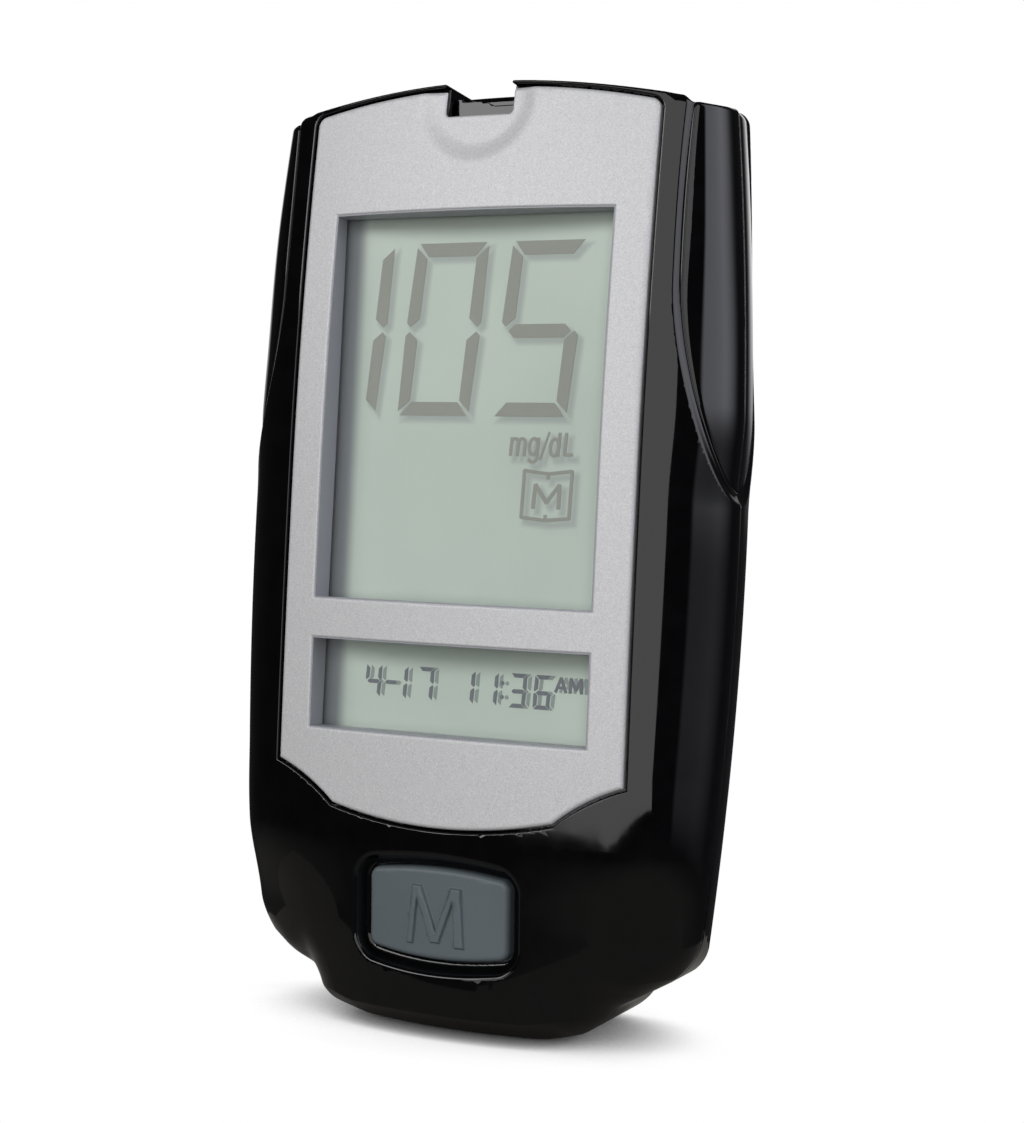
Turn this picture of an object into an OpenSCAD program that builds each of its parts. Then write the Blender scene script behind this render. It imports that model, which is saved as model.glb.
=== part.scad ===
// Blood glucose meter: two glossy shells, a crowned faceplate with two display
// windows, one large push button, a strip port in the top edge and two AAA cells
// behind a hinged cover. It stands on its foot: X to the right, Y from the front
// to the back, Z up, with the origin under the middle of the case.

/* [Body] */
// Overall height, from the foot to the crest of the top edge
body_h = 96; // [94:0.5:104]
// Width at the widest point, on the joint line of the shells
body_w = 53.6; // [53:0.2:58]
// Overall depth, from the crown of the front to the back
body_d = 25; // [24.8:0.2:30]
// Depth of the front shell, from its crown to the joint line
front_shell_d = 11; // [10.8:0.1:12]
// Wall thickness of the shells
wall = 1.6; // [1.2:0.1:2]
// Thickness of the front wall, which carries the faceplate
front_wall = 2.2; // [2:0.1:2.4]
// Height of the widest point above the foot
bulge_z = 50; // [46:1:54]
// Radius of the long side curve
side_r = 410; // [380:10:600]
// Radius of the top edge of the front, seen from the front
top_r = 92; // [80:1:110]
// Radius of the top edge on the joint line of the shells
joint_top_r = 200; // [150:10:300]
// Half width of the chin where it meets the wings
chin_half = 15.4; // [14.8:0.1:16]
// Half width of the flat foot
foot_half = 8; // [6:0.5:9]
// Height of the lower tips of the wings
wing_z = 11.6; // [11:0.1:13]

/* [Crown of the front] */
// Height of the highest point of the crown
crown_z = 56; // [52:1:60]
// Radius of the crown across the front
cross_r = 109; // [100:1:140]
// Radius of the bow of the front above the crown
bow_top_r = 357; // [340:5:500]
// Radius of the bow of the front below the crown
bow_low_r = 1000; // [900:20:1400]
// Extra bow of the chin across the front, as depth over the square of the half width
chin_bow = 0.0037; // [0.001:0.0001:0.0045]
// Slope of the flanks beside the faceplate
flank_slope = 0.2; // [0.18:0.01:0.24]
// Slope of the flanks beside the chin
chin_slope = 0.45; // [0.4:0.01:0.5]
// Height and depth of the rounding under the chin
chin_round = 6.5; // [5:0.1:7]
// Radius of the rounding along the top front edge
top_round = 1.2; // [0.8:0.1:1.6]
// Radius of the rounding along the top rear edge
rear_top_round = 1.6; // [1:0.1:3]
// Radius of the rounding along the rear edge of the foot
rear_foot_round = 3.5; // [2:0.5:4]
// How far the thumb grips on the sides are cut in
grip_depth = 0.45; // [0.2:0.05:0.6]
// Height of the lower tip of the thumb grips
grip_tip_z = 55.6; // [52:0.2:60]

/* [Faceplate] */
// Width of the faceplate
plate_w = 38; // [37:0.2:39]
// Thickness of the faceplate
plate_t = 1; // [0.8:0.05:1.1]
// Black gap around the faceplate
plate_gap = 0.25; // [0.15:0.05:0.35]
// Lip of the case above the faceplate
plate_lip = 0.6; // [0.4:0.1:1]
// Radius of the faceplate's top edge
plate_top_r = 95; // [85:1:110]
// Height of the lowest point of the faceplate
plate_z0 = 21.1; // [20.6:0.1:22]
// Half width of the tongue at the bottom of the faceplate
tongue_half = 12.1; // [11:0.1:13]
// Rise from the lowest point of the tongue to its corners
tongue_rise = 1.5; // [1:0.1:2]
// Rise from the tongue's corners to the faceplate's lower corners
shoulder_rise = 4; // [3:0.1:4.4]
// Width of both display windows
window_w = 30.4; // [28:0.2:30.8]
// Height of the large window
main_window_h = 39.3; // [36:0.1:40]
// Height of the small window
small_window_h = 9.05; // [8:0.05:9.4]
// Bar between the two windows
window_bar = 4.25; // [3.5:0.05:5]
// From the crest of the top edge down to the large window
window_top_drop = 13.2; // [13:0.1:14]
// Radius of the thumb dish around the strip slot
dish_r = 5.5; // [5:0.1:6]
// Depth of the thumb dish
dish_depth = 0.5; // [0.3:0.05:0.6]
// Half width of the strip notch
notch_half = 3.6; // [3.4:0.1:4]
// Depth of the strip notch below the crest of the top edge
notch_drop = 3.25; // [3:0.05:3.6]

/* [Display] */
// From the crown of the front to the face of the clear window
display_depth = 4.1; // [4.1:0.05:4.4]
// Thickness of the clear window
lens_t = 0.7; // [0.5:0.05:0.8]
// Margin of the clear window around the display openings
lens_margin = 1.9; // [1.6:0.1:2]
// Thickness of the display glass
glass_t = 1.8; // [1.4:0.1:2]
// Height of the rubber connectors behind the display glass
connector_h = 1.9; // [1.6:0.1:2]
// Width of the rubber connectors
connector_w = 1.8; // [1.2:0.1:2.2]
// Wall of the frame that holds the display glass
lcd_frame_wall = 0.9; // [0.6:0.1:1]

/* [Button] */
// Half width of the main button
button_half = 7.7; // [7:0.1:8]
// Height of the main button
button_h = 9.15; // [8.6:0.05:9.4]
// Height of the centre of the main button
button_z = 12.5; // [12.2:0.1:13]
// Gap around the main button
button_gap = 0.25; // [0.2:0.05:0.35]
// Width of the basin around the main button
basin_margin = 1.15; // [0.8:0.05:1.3]
// Depth of the basin around the main button
basin_depth = 1.3; // [1:0.05:1.4]
// Depth of the button's face below the crown
button_sink = 0.8; // [0.4:0.05:0.9]
// Travel of the main button
button_travel = 0.4; // [0.3:0.05:0.6]
// Rise of the corners above the button's arched edges, as a sagitta
button_arch = 0.7; // [0.4:0.05:0.9]

/* [Power] */
// Diameter of an AAA cell
cell_d = 10.5; // [10:0.1:10.5]
// Length of an AAA cell over its terminal
cell_len = 44.5; // [43.5:0.1:44.5]
// Height of the terminal of a cell
cell_nub = 1.2; // [0.8:0.1:1.5]
// Gap between the two cells
cell_gap = 0.5; // [0.3:0.1:0.8]
// Gap between a cell and the walls of its bay
cell_clear = 0.3; // [0.2:0.05:0.4]
// Height of the lower end of the battery bay
bay_z0 = 17; // [16:0.5:20]
// Thickness of the walls of the battery bay
bay_wall = 1.8; // [1.6:0.1:2]
// Thickness of the floor of the battery bay
bay_floor = 1; // [0.8:0.1:1]
// Length of a battery spring at rest in the bay
spring_len = 3; // [2.5:0.1:4]
// Thickness of the sheet of the battery contacts
contact_t = 0.3; // [0.2:0.05:0.4]
// Thickness of the battery cover
door_t = 1.5; // [1.2:0.05:1.6]
// Clearance around the battery cover
door_gap = 0.15; // [0.1:0.05:0.25]

/* [Electronics] */
// Thickness of the circuit board
board_t = 1; // [0.8:0.1:1.2]
// Height of the chips on the back of the board
chip_t = 1.1; // [0.8:0.1:1.1]
// Side of the square processor
chip_side = 8.6; // [7:0.2:8.6]
// Radius of the buzzer
buzzer_r = 5; // [4:0.5:6]
// Height of the buzzer
buzzer_h = 4; // [3:0.5:5]
// Half width of the strip port
port_half = 5.4; // [5:0.1:6]
// Travel of the small setting button in the battery bay
set_travel = 0.25; // [0.2:0.05:0.35]
// Radius of the setting button
set_r = 0.9; // [0.7:0.05:1]

/* [Screws] */
// Radius of the shank of the case screws
case_screw_r = 0.9; // [0.8:0.05:1]
// Radius of the head of the case screws
case_head_r = 1.7; // [1.5:0.05:1.8]
// Gap between the bosses of the case screws and the frame of the display
case_screw_gap = 0.7; // [0.4:0.1:0.9]
// Radius of the shank of the board screws
board_screw_r = 0.7; // [0.6:0.05:0.8]
// Radius of the head of the board screws
board_head_r = 1.35; // [1.2:0.05:1.5]

/* [Hidden] */

$fn = 64;

function crown_drop(z) = pow(z - crown_z, 2) / (2 * (z > crown_z ? bow_top_r : bow_low_r));
function ease(t) = let (c = min(max(t, 0), 1)) c * c * (3 - 2 * c);

// Heights of the windows
main_z1 = body_h - window_top_drop;
main_z0 = main_z1 - main_window_h;
small_z1 = main_z0 - window_bar;
small_z0 = small_z1 - small_window_h;

// Planes from front to back: the bar between the windows is the foremost place
front_y = -body_d / 2 - crown_drop(main_z0);
back_y = body_d / 2;
split_y = front_y + front_shell_d;
lens_y0 = front_y + display_depth;
lens_y1 = lens_y0 + lens_t;
glass_y0 = lens_y1 + 0.1;
glass_y1 = glass_y0 + glass_t;
board_y0 = glass_y1 + connector_h;
board_y1 = board_y0 + board_t;
door_y0 = back_y - door_t;
cell_r = cell_d / 2;
cell_y = door_y0 - cell_clear - cell_r;
bay_y0 = cell_y - cell_r - cell_clear;
bay_back_y = bay_y0 - bay_floor;

// Places of what sits behind the windows
lens_half = window_w / 2 + lens_margin;
lens_z0 = small_z0 - lens_margin;
lens_z1 = main_z1 + lens_margin;
lens_clear = 0.15;
glass_half = lens_half - 0.2;
frame_half = glass_half + 0.1 + lcd_frame_wall;
frame_z0 = lens_z0 - lcd_frame_wall;
frame_z1 = lens_z1 + lcd_frame_wall;
plate_half = plate_w / 2;
chin_top_z = plate_z0 + 8.9;
foot_bow = 0.000026;
crease_fall = 0.0211;
crease_power = 1.7;
crease_land = 0.75;
flank_power = 2.5;
rear_power = 1.9;
rear_reach_x = 10.3;
rear_reach_y = 13.9;
side_spare = 0.6;
plate_crest_z = body_h - plate_lip;
plate_seat = plate_t + 0.05;
notch_z = body_h - notch_drop;

// Battery bay
cell_x = cell_r + cell_gap / 2;
bay_half = cell_x + cell_r + cell_clear;
pad_h = 0.5;
bay_len = contact_t + spring_len + cell_len + pad_h + contact_t;
bay_z1 = bay_z0 + bay_len;
door_half = bay_half + bay_wall - 0.3;
hinge_z = bay_z0 - 1;
hinge_y = back_y - door_t / 2;
door_z1 = bay_z1 + 1.2;
pin_r = 0.5;
pin_len = 1;

// Screws
boss_r = case_head_r + 0.5;
case_screw_x = frame_half + case_screw_gap + boss_r;
case_screw_z = [bay_z0 + 7.5, body_h - 12];
column_r = case_head_r + 0.9;
seat_y = split_y + 3.5;
screw_tip_y = split_y - 5.5;
thread_clear = 0.03;
board_screw_x = frame_half - 2.4;
board_screw_z = [frame_z0 - 3.2, frame_z1 + 2.4];
board_boss_r = 1.9;
board_head_h = 0.8;
board_screw_len = 3.5;
case_head_h = 1.4;

// Small internal parts
set_z = bay_z0 + 15;
buzzer_z = bay_z1 + 10.6;
chip_x = -buzzer_r - chip_side / 2 - 0.5;
crystal_x = 7.5;
crystal_len = 6;
component_pitch = 3.2;
component_size = [1.6, 0.7, 0.9];
component_rows = [buzzer_z - buzzer_r - 1.9, buzzer_z + buzzer_r + 1];
board_margin = 3.4;
contact_half_w = 4;
pad_r = 1.6;
port_pitch = 1;
port_blade = 0.5;
port_z0 = frame_z1 + 0.9;
port_z1 = body_h - 2.6;
port_nose_z = body_h - 1.1;
port_clear = 0.15;
port_y0 = front_y + crown_drop(port_z1) + front_wall + port_clear;
slot_y = port_y0 + 1.2;
slot_t = 1;
slot_half = 2.9;
flange_margin = 0.9;
flange_t = 0.8;
flange_gap = 1.15;
flange_y0 = front_y + crown_drop(button_z) + front_wall + flange_gap;
flange_y1 = flange_y0 + flange_t;
dome_top_r = 2.6;
dome_base_r = 5;
label_t = 0.12;

function bezier2(p, q, r, n) =
  [for (i = [0 : n]) let (t = i / n) p * pow(1 - t, 2) + q * 2 * t * (1 - t) + r * t * t];
function bezier3(p, q, r, s, n) =
  [for (i = [0 : n]) let (t = i / n)
    p * pow(1 - t, 3) + q * 3 * t * pow(1 - t, 2) + r * 3 * t * t * (1 - t) + s * pow(t, 3)];
function flip(points) =
  [for (i = [len(points) - 1 : -1 : 0]) [-points[i][0], points[i][1]]];
function swell(z) = grip_depth * ease((z - grip_tip_z - 0.4) / 10);
function side_x(z, inset) = body_w / 2 - inset - pow(z - bulge_z, 2) / (2 * side_r) + swell(z);
function top_z(x) = body_h - x * x / (2 * joint_top_r);
function plate_top_z(x) = plate_crest_z - x * x / (2 * plate_top_r);

// Right half of the front view of the case, from the foot up to the crest. Between the wings
// and the top corners it runs wide of the sides, which the plan of the case gives.
function outline_half(inset) = let (
    corner_z = body_h - 5.8,
    corner_x = side_x(corner_z, inset),
    crest_x = corner_x - 2
  ) concat(
    bezier2([foot_half, 0], [chin_half - 1.2, 0.2], [chin_half, 2.8], 5),
    bezier2([chin_half, 2.8], [chin_half + 1.2, 5], [side_x(wing_z, inset) - 3, wing_z - 4.3], 5),
    bezier2([side_x(wing_z, inset) - 3, wing_z - 4.3],
      [side_x(wing_z, inset) - 0.4, wing_z - 3.2], [side_x(wing_z, inset), wing_z], 6),
    [for (z = [wing_z + 6, bulge_z, corner_z - 6]) [side_x(z, inset) + side_spare, z]],
    bezier2([corner_x, corner_z], [corner_x, top_z(corner_x)], [crest_x, top_z(crest_x)], 6),
    [for (i = [1 : 6]) let (x = crest_x * (1 - i / 7)) [x, top_z(x)]]
  );

// Front of the case: it bows more across the chin than across the faceplate, and rounds back
// to the foot and to the top edge
function cross_bow(z) = 1 / (2 * cross_r) + chin_bow * ease((chin_top_z - z) / 9)
  + foot_bow * pow(min(max(chin_top_z - 10 - z, 0), 14), 2);
function front_depth(x, z) = front_y + crown_drop(z) + cross_bow(z) * x * x;
function round_off(depth, r) = r - sqrt(r * r - pow(min(max(depth, 0), r), 2));
function rounded(y, z) = split_y - (split_y - y) * (1
  - (round_off(chin_round - z, chin_round) + round_off(z - body_h + top_round, top_round))
  / (split_y - front_depth(0, z)));

// Crease that runs down from the faceplate's edge into the chin
function crease_x(z) = plate_half + plate_gap
  - crease_fall * pow(max(plate_z0 + tongue_rise + shoulder_rise - z, 0), crease_power);

// Right half of the plan of the case at a height, from the middle of the front to the back
function plan_half(z, face, side) = let (
    crease = crease_x(z),
    edge = side_x(z, side),
    slope = flank_slope + (chin_slope - flank_slope) * ease((chin_top_z + 2 - z) / 18),
    rise_y = front_depth(crease, z) + face - slope * crease,
    reach_x = edge - crease - crease_land,
    reach_y = split_y + 0.5 - rise_y - slope * edge,
    fuller = 2 + 0.8 * ease((z - 68) / 16) + ease((28 - z) / 12)
  ) concat(
    [for (i = [0 : 3]) let (x = crease * i / 3) [x, rounded(front_depth(x, z) + face, z)]],
    [for (a = [0, 18, 38, 60, 82]) let (x = edge - reach_x * (1 - pow(sin(a), 2 / fuller)))
      [x, rounded(rise_y + slope * x + reach_y * (1 - pow(cos(a), 2 / flank_power)), z)]],
    [[edge, split_y + 0.1]],
    [for (a = [90 : -18 : 0]) [edge - rear_reach_x * (1 - sin(a)),
      back_y - side - (rear_reach_y - side) * (1 - pow(cos(a), 2 / rear_power))]]
  );

// Front view of the hollow inside the case
function cavity_half() = concat(
  [[chin_half - 3.2, 4.4], [chin_half - 0.8, 6.4], [side_x(wing_z, wall) - 2.4, wing_z - 0.8],
    [side_x(wing_z, wall) - 0.2, wing_z + 3]],
  [for (i = [1 : 7]) let (z = wing_z + 3 + (body_h - 9 - wing_z - 3) * i / 7) [side_x(z, wall), z]],
  [for (i = [0 : 5]) let (x = (side_x(body_h - 9, wall) - 3) * (1 - i / 6))
    [x, body_h - x * x / (2 * top_r) - wall - 0.2]]
);

// A flat shape drawn in front view, X against Z, made solid between two depths
module slab(y0, y1) {
  translate([0, y1, 0]) rotate([90, 0, 0]) linear_extrude(y1 - y0) children();
}

// A round bar along Y
module bar_y(x, z, r, y0, y1) {
  translate([x, y1, z]) rotate([90, 0, 0]) cylinder(h = y1 - y0, r = r);
}

// A box between two corners
module box(a, b) {
  translate(a) cube(b - a);
}

module outline_prism(y0, y1, inset = 0) {
  slab(y0, y1)
    polygon(concat(outline_half(inset), [[0, top_z(0)]], flip(outline_half(inset))));
}

// Solid through closed outlines that have the same number of points
module loft(rings) {
  n = len(rings[0]);
  last = len(rings) - 1;
  polyhedron([for (ring = rings) each ring], concat(
    [[for (k = [0 : n - 1]) k]],
    [for (i = [0 : last - 1]) for (k = [0 : n - 1]) let (a = i * n + k, b = i * n + (k + 1) % n)
      for (face = [[a, a + n, b + n], [a, b + n, b]]) face],
    [[for (k = [n - 1 : -1 : 0]) last * n + k]]
  ));
}

// The case before its outline is cut, with its front and its sides moved inwards
module case_loft(face = 0, side = 0) {
  levels = [for (a = [0, 45, 70]) chin_round * (1 - cos(a)), for (z = [7 : 4.5 : 34]) z,
    for (z = [44.5 : 10.5 : 87]) z, for (a = [90, 45, 0]) body_h - top_round * (1 - cos(a)),
    body_h + 1];
  loft([for (z = levels) let (half = plan_half(z, face, side), n = len(half)) concat(
    [for (p = half) [p[0], p[1], z]],
    [for (i = [n - 1 : -1 : 1]) [-half[i][0], half[i][1], z]]
  )]);
}

// Room under the top of the case, which arches more at the front than at the joint line
module under_top() {
  reach = body_w / 2 + 1;
  function ring(y, r) = concat(
    [for (i = [-8 : 8]) let (x = reach * i / 8) [x, y, body_h - x * x / (2 * r)]],
    [[reach, y, -1], [-reach, y, -1]]
  );
  loft([ring(front_y - 1, top_r), ring(front_y + 1.5, top_r), ring(split_y, joint_top_r),
    ring(split_y + 1, joint_top_r)]);
}

module back_prism(inset = 0) {
  reach = body_w;
  translate([-reach / 2, 0, 0]) rotate([90, 0, 90]) linear_extrude(reach) polygon(concat(
    [[split_y - 1, 0], [back_y - rear_foot_round, 0]],
    [for (a = [-75 : 15 : 0])
      [back_y - inset - rear_foot_round * (1 - cos(a)), rear_foot_round * (1 + sin(a))]],
    [for (a = [0 : 15 : 90])
      [back_y - inset - rear_top_round * (1 - cos(a)), body_h - rear_top_round * (1 - sin(a))]],
    [[split_y - 1, body_h]]
  ));
}

module cavity_prism(y0, y1) {
  slab(y0, y1) polygon(concat(cavity_half(), flip(cavity_half())));
}

module front_form() {
  intersection() {
    outline_prism(front_y - 1, split_y);
    case_loft();
    under_top();
  }
}

module rear_form() {
  intersection() {
    outline_prism(split_y, back_y + 1);
    case_loft();
    back_prism();
  }
}

// Side view of a thumb grip: it wraps the joint line and ends in a tip
module grip_leaf() {
  top = body_h + 1;
  front_edge = bezier3([split_y - 6.6, top], [split_y - 9.6, top - 22],
    [split_y - 10, grip_tip_z + 3], [split_y, grip_tip_z], 10);
  rear_edge = [for (i = [9 : -1 : 0]) [2 * split_y - front_edge[i][0], front_edge[i][1]]];
  polygon(concat(front_edge, rear_edge));
}

module grip_cuts() {
  difference() {
    for (side = [0, 1]) mirror([side, 0, 0])
      translate([body_w / 2 - 8, 0, 0]) rotate([90, 0, 90]) linear_extrude(10) grip_leaf();
    intersection() {
      case_loft(grip_depth, grip_depth);
      outline_prism(front_y - 1, back_y + 1, grip_depth);
    }
  }
}

module plate_outline(gap = 0) {
  half = plate_half + gap;
  tongue_x = tongue_half + gap / 2;
  tongue_z = plate_z0 + tongue_rise - gap;
  shoulder_z = tongue_z + shoulder_rise;
  tongue = [for (i = [0 : 5]) let (x = tongue_x * i / 5)
    [x, plate_z0 - gap + tongue_rise * pow(x / tongue_x, 2)]];
  right = concat(
    tongue,
    bezier2([tongue_x, tongue_z], [tongue_x + 2.3, tongue_z + 2.8], [half, shoulder_z], 6),
    bezier2([half, plate_top_z(half) - 1], [half, plate_top_z(half) + gap],
      [half - 0.9, plate_top_z(half - 0.9) + gap], 4),
    [for (i = [1 : 6]) let (x = (half - 0.9) * (1 - i / 7)) [x, plate_top_z(x) + gap]]
  );
  polygon(concat(right, flip(right)));
}

module window_rect(z0, z1, margin = 0) {
  translate([-window_w / 2 - margin, z0 - margin])
    square([window_w + 2 * margin, z1 - z0 + 2 * margin]);
}

// Front view of the button: straight sides with arched top and bottom edges
module button_outline(margin = 0) {
  half = button_half + margin;
  rise = button_h / 2 + margin;
  corner = 0.9 + margin / 2;
  function arch(x) = rise - button_arch * pow(x / half, 2);
  crest = half - corner;
  upper = concat(
    bezier2([half, arch(half) - corner], [half, arch(half)], [crest, arch(crest)], 4),
    [for (i = [1 : 7]) let (x = crest * (1 - i / 4)) [x, arch(x)]],
    bezier2([-crest, arch(crest)], [-half, arch(half)], [-half, arch(half) - corner], 4)
  );
  lower = [for (p = upper) [-p[0], -p[1]]];
  translate([0, button_z]) polygon(concat(upper, lower));
}

module screw_places() {
  for (side = [-1, 1], z = case_screw_z) translate([side * case_screw_x, 0, z]) children();
}

module board_screw_places() {
  for (side = [-1, 1], z = board_screw_z) translate([side * board_screw_x, 0, z]) children();
}

// Front shell, with the seat of the faceplate and the land behind the windows
module front_case() {
  land = 0.7;
  color([0.03, 0.03, 0.035]) difference() {
    union() {
      difference() {
        front_form();
        intersection() {
          cavity_prism(front_y - 1, split_y + 1);
          case_loft(front_wall, wall);
        }
      }
      intersection() {
        front_form();
        union() {
          box([-frame_half - land, front_y, frame_z0 - land],
            [frame_half + land, lens_y1, frame_z1 + land]);
          screw_places() bar_y(0, 0, boss_r, front_y, split_y);
          board_screw_places() bar_y(0, 0, board_boss_r, front_y, board_y0);
        }
      }
    }
    intersection() {
      slab(front_y - 2, lens_y0) plate_outline(plate_gap);
      difference() {
        box([-body_w, front_y - 2, 0], [body_w, lens_y0, body_h + 1]);
        case_loft(plate_seat);
      }
    }
    slab(front_y - 1, lens_y1 + 1) window_rect(small_z0, main_z1, 0.4);
    box([-lens_half - lens_clear, lens_y0 - 0.05, lens_z0 - lens_clear],
      [lens_half + lens_clear, lens_y1 + 1, lens_z1 + lens_clear]);
    intersection() {
      slab(front_y - 1, split_y) button_outline(basin_margin + button_gap);
      difference() {
        box([-body_w, front_y - 2, 0], [body_w, split_y, body_h]);
        case_loft(basin_depth);
      }
    }
    slab(front_y - 1, split_y) button_outline(button_gap);
    box([-notch_half, front_y - 1, notch_z], [notch_half, slot_y + 3, body_h + 1]);
    screw_places() bar_y(0, 0, case_screw_r + thread_clear, screw_tip_y - 0.3, split_y + 1);
    board_screw_places() bar_y(0, 0, board_screw_r + thread_clear, board_y0 - board_screw_len - 0.3,
      board_y0 + 1);
    grip_cuts();
  }
}

// Rear shell, with the battery bay, the seat of its cover and the screw columns
module rear_case() {
  backing = 2.6;
  sound_hole_r = 0.6;
  sound_hole_pitch = 2.2;
  color([0.035, 0.035, 0.04]) difference() {
    union() {
      difference() {
        rear_form();
        intersection() {
          cavity_prism(split_y - 1, back_y + 1);
          case_loft(front_wall, wall);
          back_prism(wall);
        }
      }
      intersection() {
        rear_form();
        union() {
          box([-bay_half - bay_wall, bay_back_y, bay_z0 - backing],
            [bay_half + bay_wall, back_y, bay_z1 + backing]);
          screw_places() bar_y(0, 0, column_r, split_y, back_y);
        }
      }
    }
    box([-bay_half, bay_y0, bay_z0], [bay_half, back_y + 1, bay_z1]);
    box([-door_half - door_gap, door_y0, hinge_z],
      [door_half + door_gap, back_y + 1, door_z1 + door_gap]);
    translate([-door_half - door_gap, hinge_y, hinge_z]) rotate([0, 90, 0])
      cylinder(h = 2 * (door_half + door_gap), r = door_t / 2 + door_gap);
    box([-door_half - door_gap, hinge_y, hinge_z - door_t / 2 - door_gap],
      [door_half + door_gap, back_y + 1, hinge_z + 0.1]);
    translate([-door_half - pin_len - 0.2, hinge_y, hinge_z]) rotate([0, 90, 0])
      cylinder(h = 2 * (door_half + pin_len + 0.2), r = pin_r + 0.08);
    screw_places() {
      bar_y(0, 0, case_screw_r + 0.2, split_y - 1, seat_y + 1);
      bar_y(0, 0, case_head_r + 0.2, seat_y, back_y + 1);
    }
    bar_y(0, set_z, set_r + 0.3, bay_back_y - 1, bay_y0 + 1);
    for (row = [-1 : 1], column = [-1 : 1])
      bar_y(sound_hole_pitch * column, buzzer_z + sound_hole_pitch * row,
        sound_hole_r, back_y - wall - 1, back_y + 1);
    grip_cuts();
  }
}

// Battery cover: its lower edge is a half round that turns in the rear shell
module battery_door() {
  finger_r = 6;
  color([0.04, 0.04, 0.045]) difference() {
    union() {
      box([-door_half, door_y0, hinge_z], [door_half, back_y, door_z1]);
      translate([-door_half, hinge_y, hinge_z]) rotate([0, 90, 0])
        cylinder(h = 2 * door_half, r = door_t / 2);
      translate([-door_half - pin_len, hinge_y, hinge_z]) rotate([0, 90, 0])
        cylinder(h = 2 * (door_half + pin_len), r = pin_r);
    }
    translate([0, back_y + finger_r - 0.7, door_z1 - 5]) rotate([0, 90, 0])
      cylinder(h = 12, r = finger_r, center = true);
    label_pocket(0.1);
  }
}

module label_pocket(margin) {
  box([-door_half + 2.5 - margin, back_y - label_t, hinge_z + 5 - margin],
    [door_half - 2.5 + margin, back_y + (margin > 0 ? 1 : 0), door_z1 - 12 + margin]);
}

module rating_label() {
  color([0.72, 0.73, 0.74]) label_pocket(0);
}

// Crowned bezel with the two windows, the strip notch and the thumb dish
module faceplate() {
  dish_ball_r = (dish_r * dish_r + dish_depth * dish_depth) / (2 * dish_depth);
  dish_z = plate_crest_z - 1.2;
  dish_y = front_y + crown_drop(dish_z) + dish_depth - dish_ball_r;
  color([0.78, 0.78, 0.8]) difference() {
    intersection() {
      slab(front_y - 1, lens_y0) plate_outline();
      case_loft();
    }
    intersection() {
      case_loft(plate_t);
      box([-body_w, front_y - 1, 0], [body_w, lens_y0 + 1, body_h + 1]);
    }
    slab(front_y - 1, lens_y0 + 1) {
      window_rect(main_z0, main_z1);
      window_rect(small_z0, small_z1);
    }
    box([-notch_half, front_y - 1, notch_z], [notch_half, lens_y0 + 1, body_h + 1]);
    translate([0, dish_y, dish_z]) sphere(r = dish_ball_r, $fn = 180);
  }
}

module display_lens() {
  color([0.8, 0.86, 0.84, 0.4])
    box([-lens_half, lens_y0, lens_z0], [lens_half, lens_y1, lens_z1]);
}

module lcd_glass() {
  color([0.72, 0.78, 0.73])
    box([-glass_half, glass_y0, lens_z0 + 0.2], [glass_half, glass_y1, lens_z1 - 0.2]);
}

module lcd_frame() {
  color([0.12, 0.13, 0.14]) difference() {
    box([-frame_half, lens_y1 + 0.05, frame_z0], [frame_half, board_y0, frame_z1]);
    box([-glass_half - 0.1, lens_y1 - 1, lens_z0 + 0.1],
      [glass_half + 0.1, board_y0 + 1, lens_z1 - 0.1]);
  }
}

module connector(z0) {
  color([0.25, 0.25, 0.27])
    box([-glass_half + 1.5, glass_y1, z0], [glass_half - 1.5, board_y0, z0 + connector_w]);
}

module upper_connector() {
  connector(lens_z1 - 0.4 - connector_w);
}

module lower_connector() {
  connector(lens_z0 + 0.4);
}

module circuit_board() {
  edge_z = board_screw_z[0] - 3;
  board = [[frame_half, edge_z], [frame_half, port_z1 - 4.5], [frame_half - 2.5, port_z1 - 1],
    [port_half + 2, port_z1 - 0.4]];
  chin_board = [[chin_half - board_margin - wall, chin_round],
    [chin_half - board_margin, edge_z - wall]];
  right = concat(chin_board, board);
  color([0.05, 0.3, 0.16]) difference() {
    slab(board_y0, board_y1) polygon(concat(right, flip(right)));
    board_screw_places() bar_y(0, 0, board_screw_r + 0.15, board_y0 - 1, board_y1 + 1);
  }
}

module microcontroller() {
  half = chip_side / 2;
  color([0.06, 0.06, 0.07]) box([chip_x - half, board_y1, buzzer_z - half],
    [chip_x + half, board_y1 + chip_t, buzzer_z + half]);
}

module crystal() {
  r = chip_t / 2;
  color([0.75, 0.76, 0.78]) translate([crystal_x, board_y1 + r, buzzer_z])
    rotate([0, 90, 0]) cylinder(h = crystal_len, r = r);
}

// Small resistors and capacitors in two rows, below and above the buzzer
module board_components() {
  color([0.55, 0.47, 0.36]) for (z = component_rows, i = [-2 : 2])
    translate([component_pitch * i, board_y1, z]) cube(component_size);
}

module buzzer() {
  color([0.08, 0.08, 0.09]) difference() {
    bar_y(0, buzzer_z, buzzer_r, board_y1, board_y1 + buzzer_h);
    bar_y(0, buzzer_z, buzzer_r / 5, board_y1 + buzzer_h - 1, board_y1 + buzzer_h + 1);
  }
}

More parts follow.
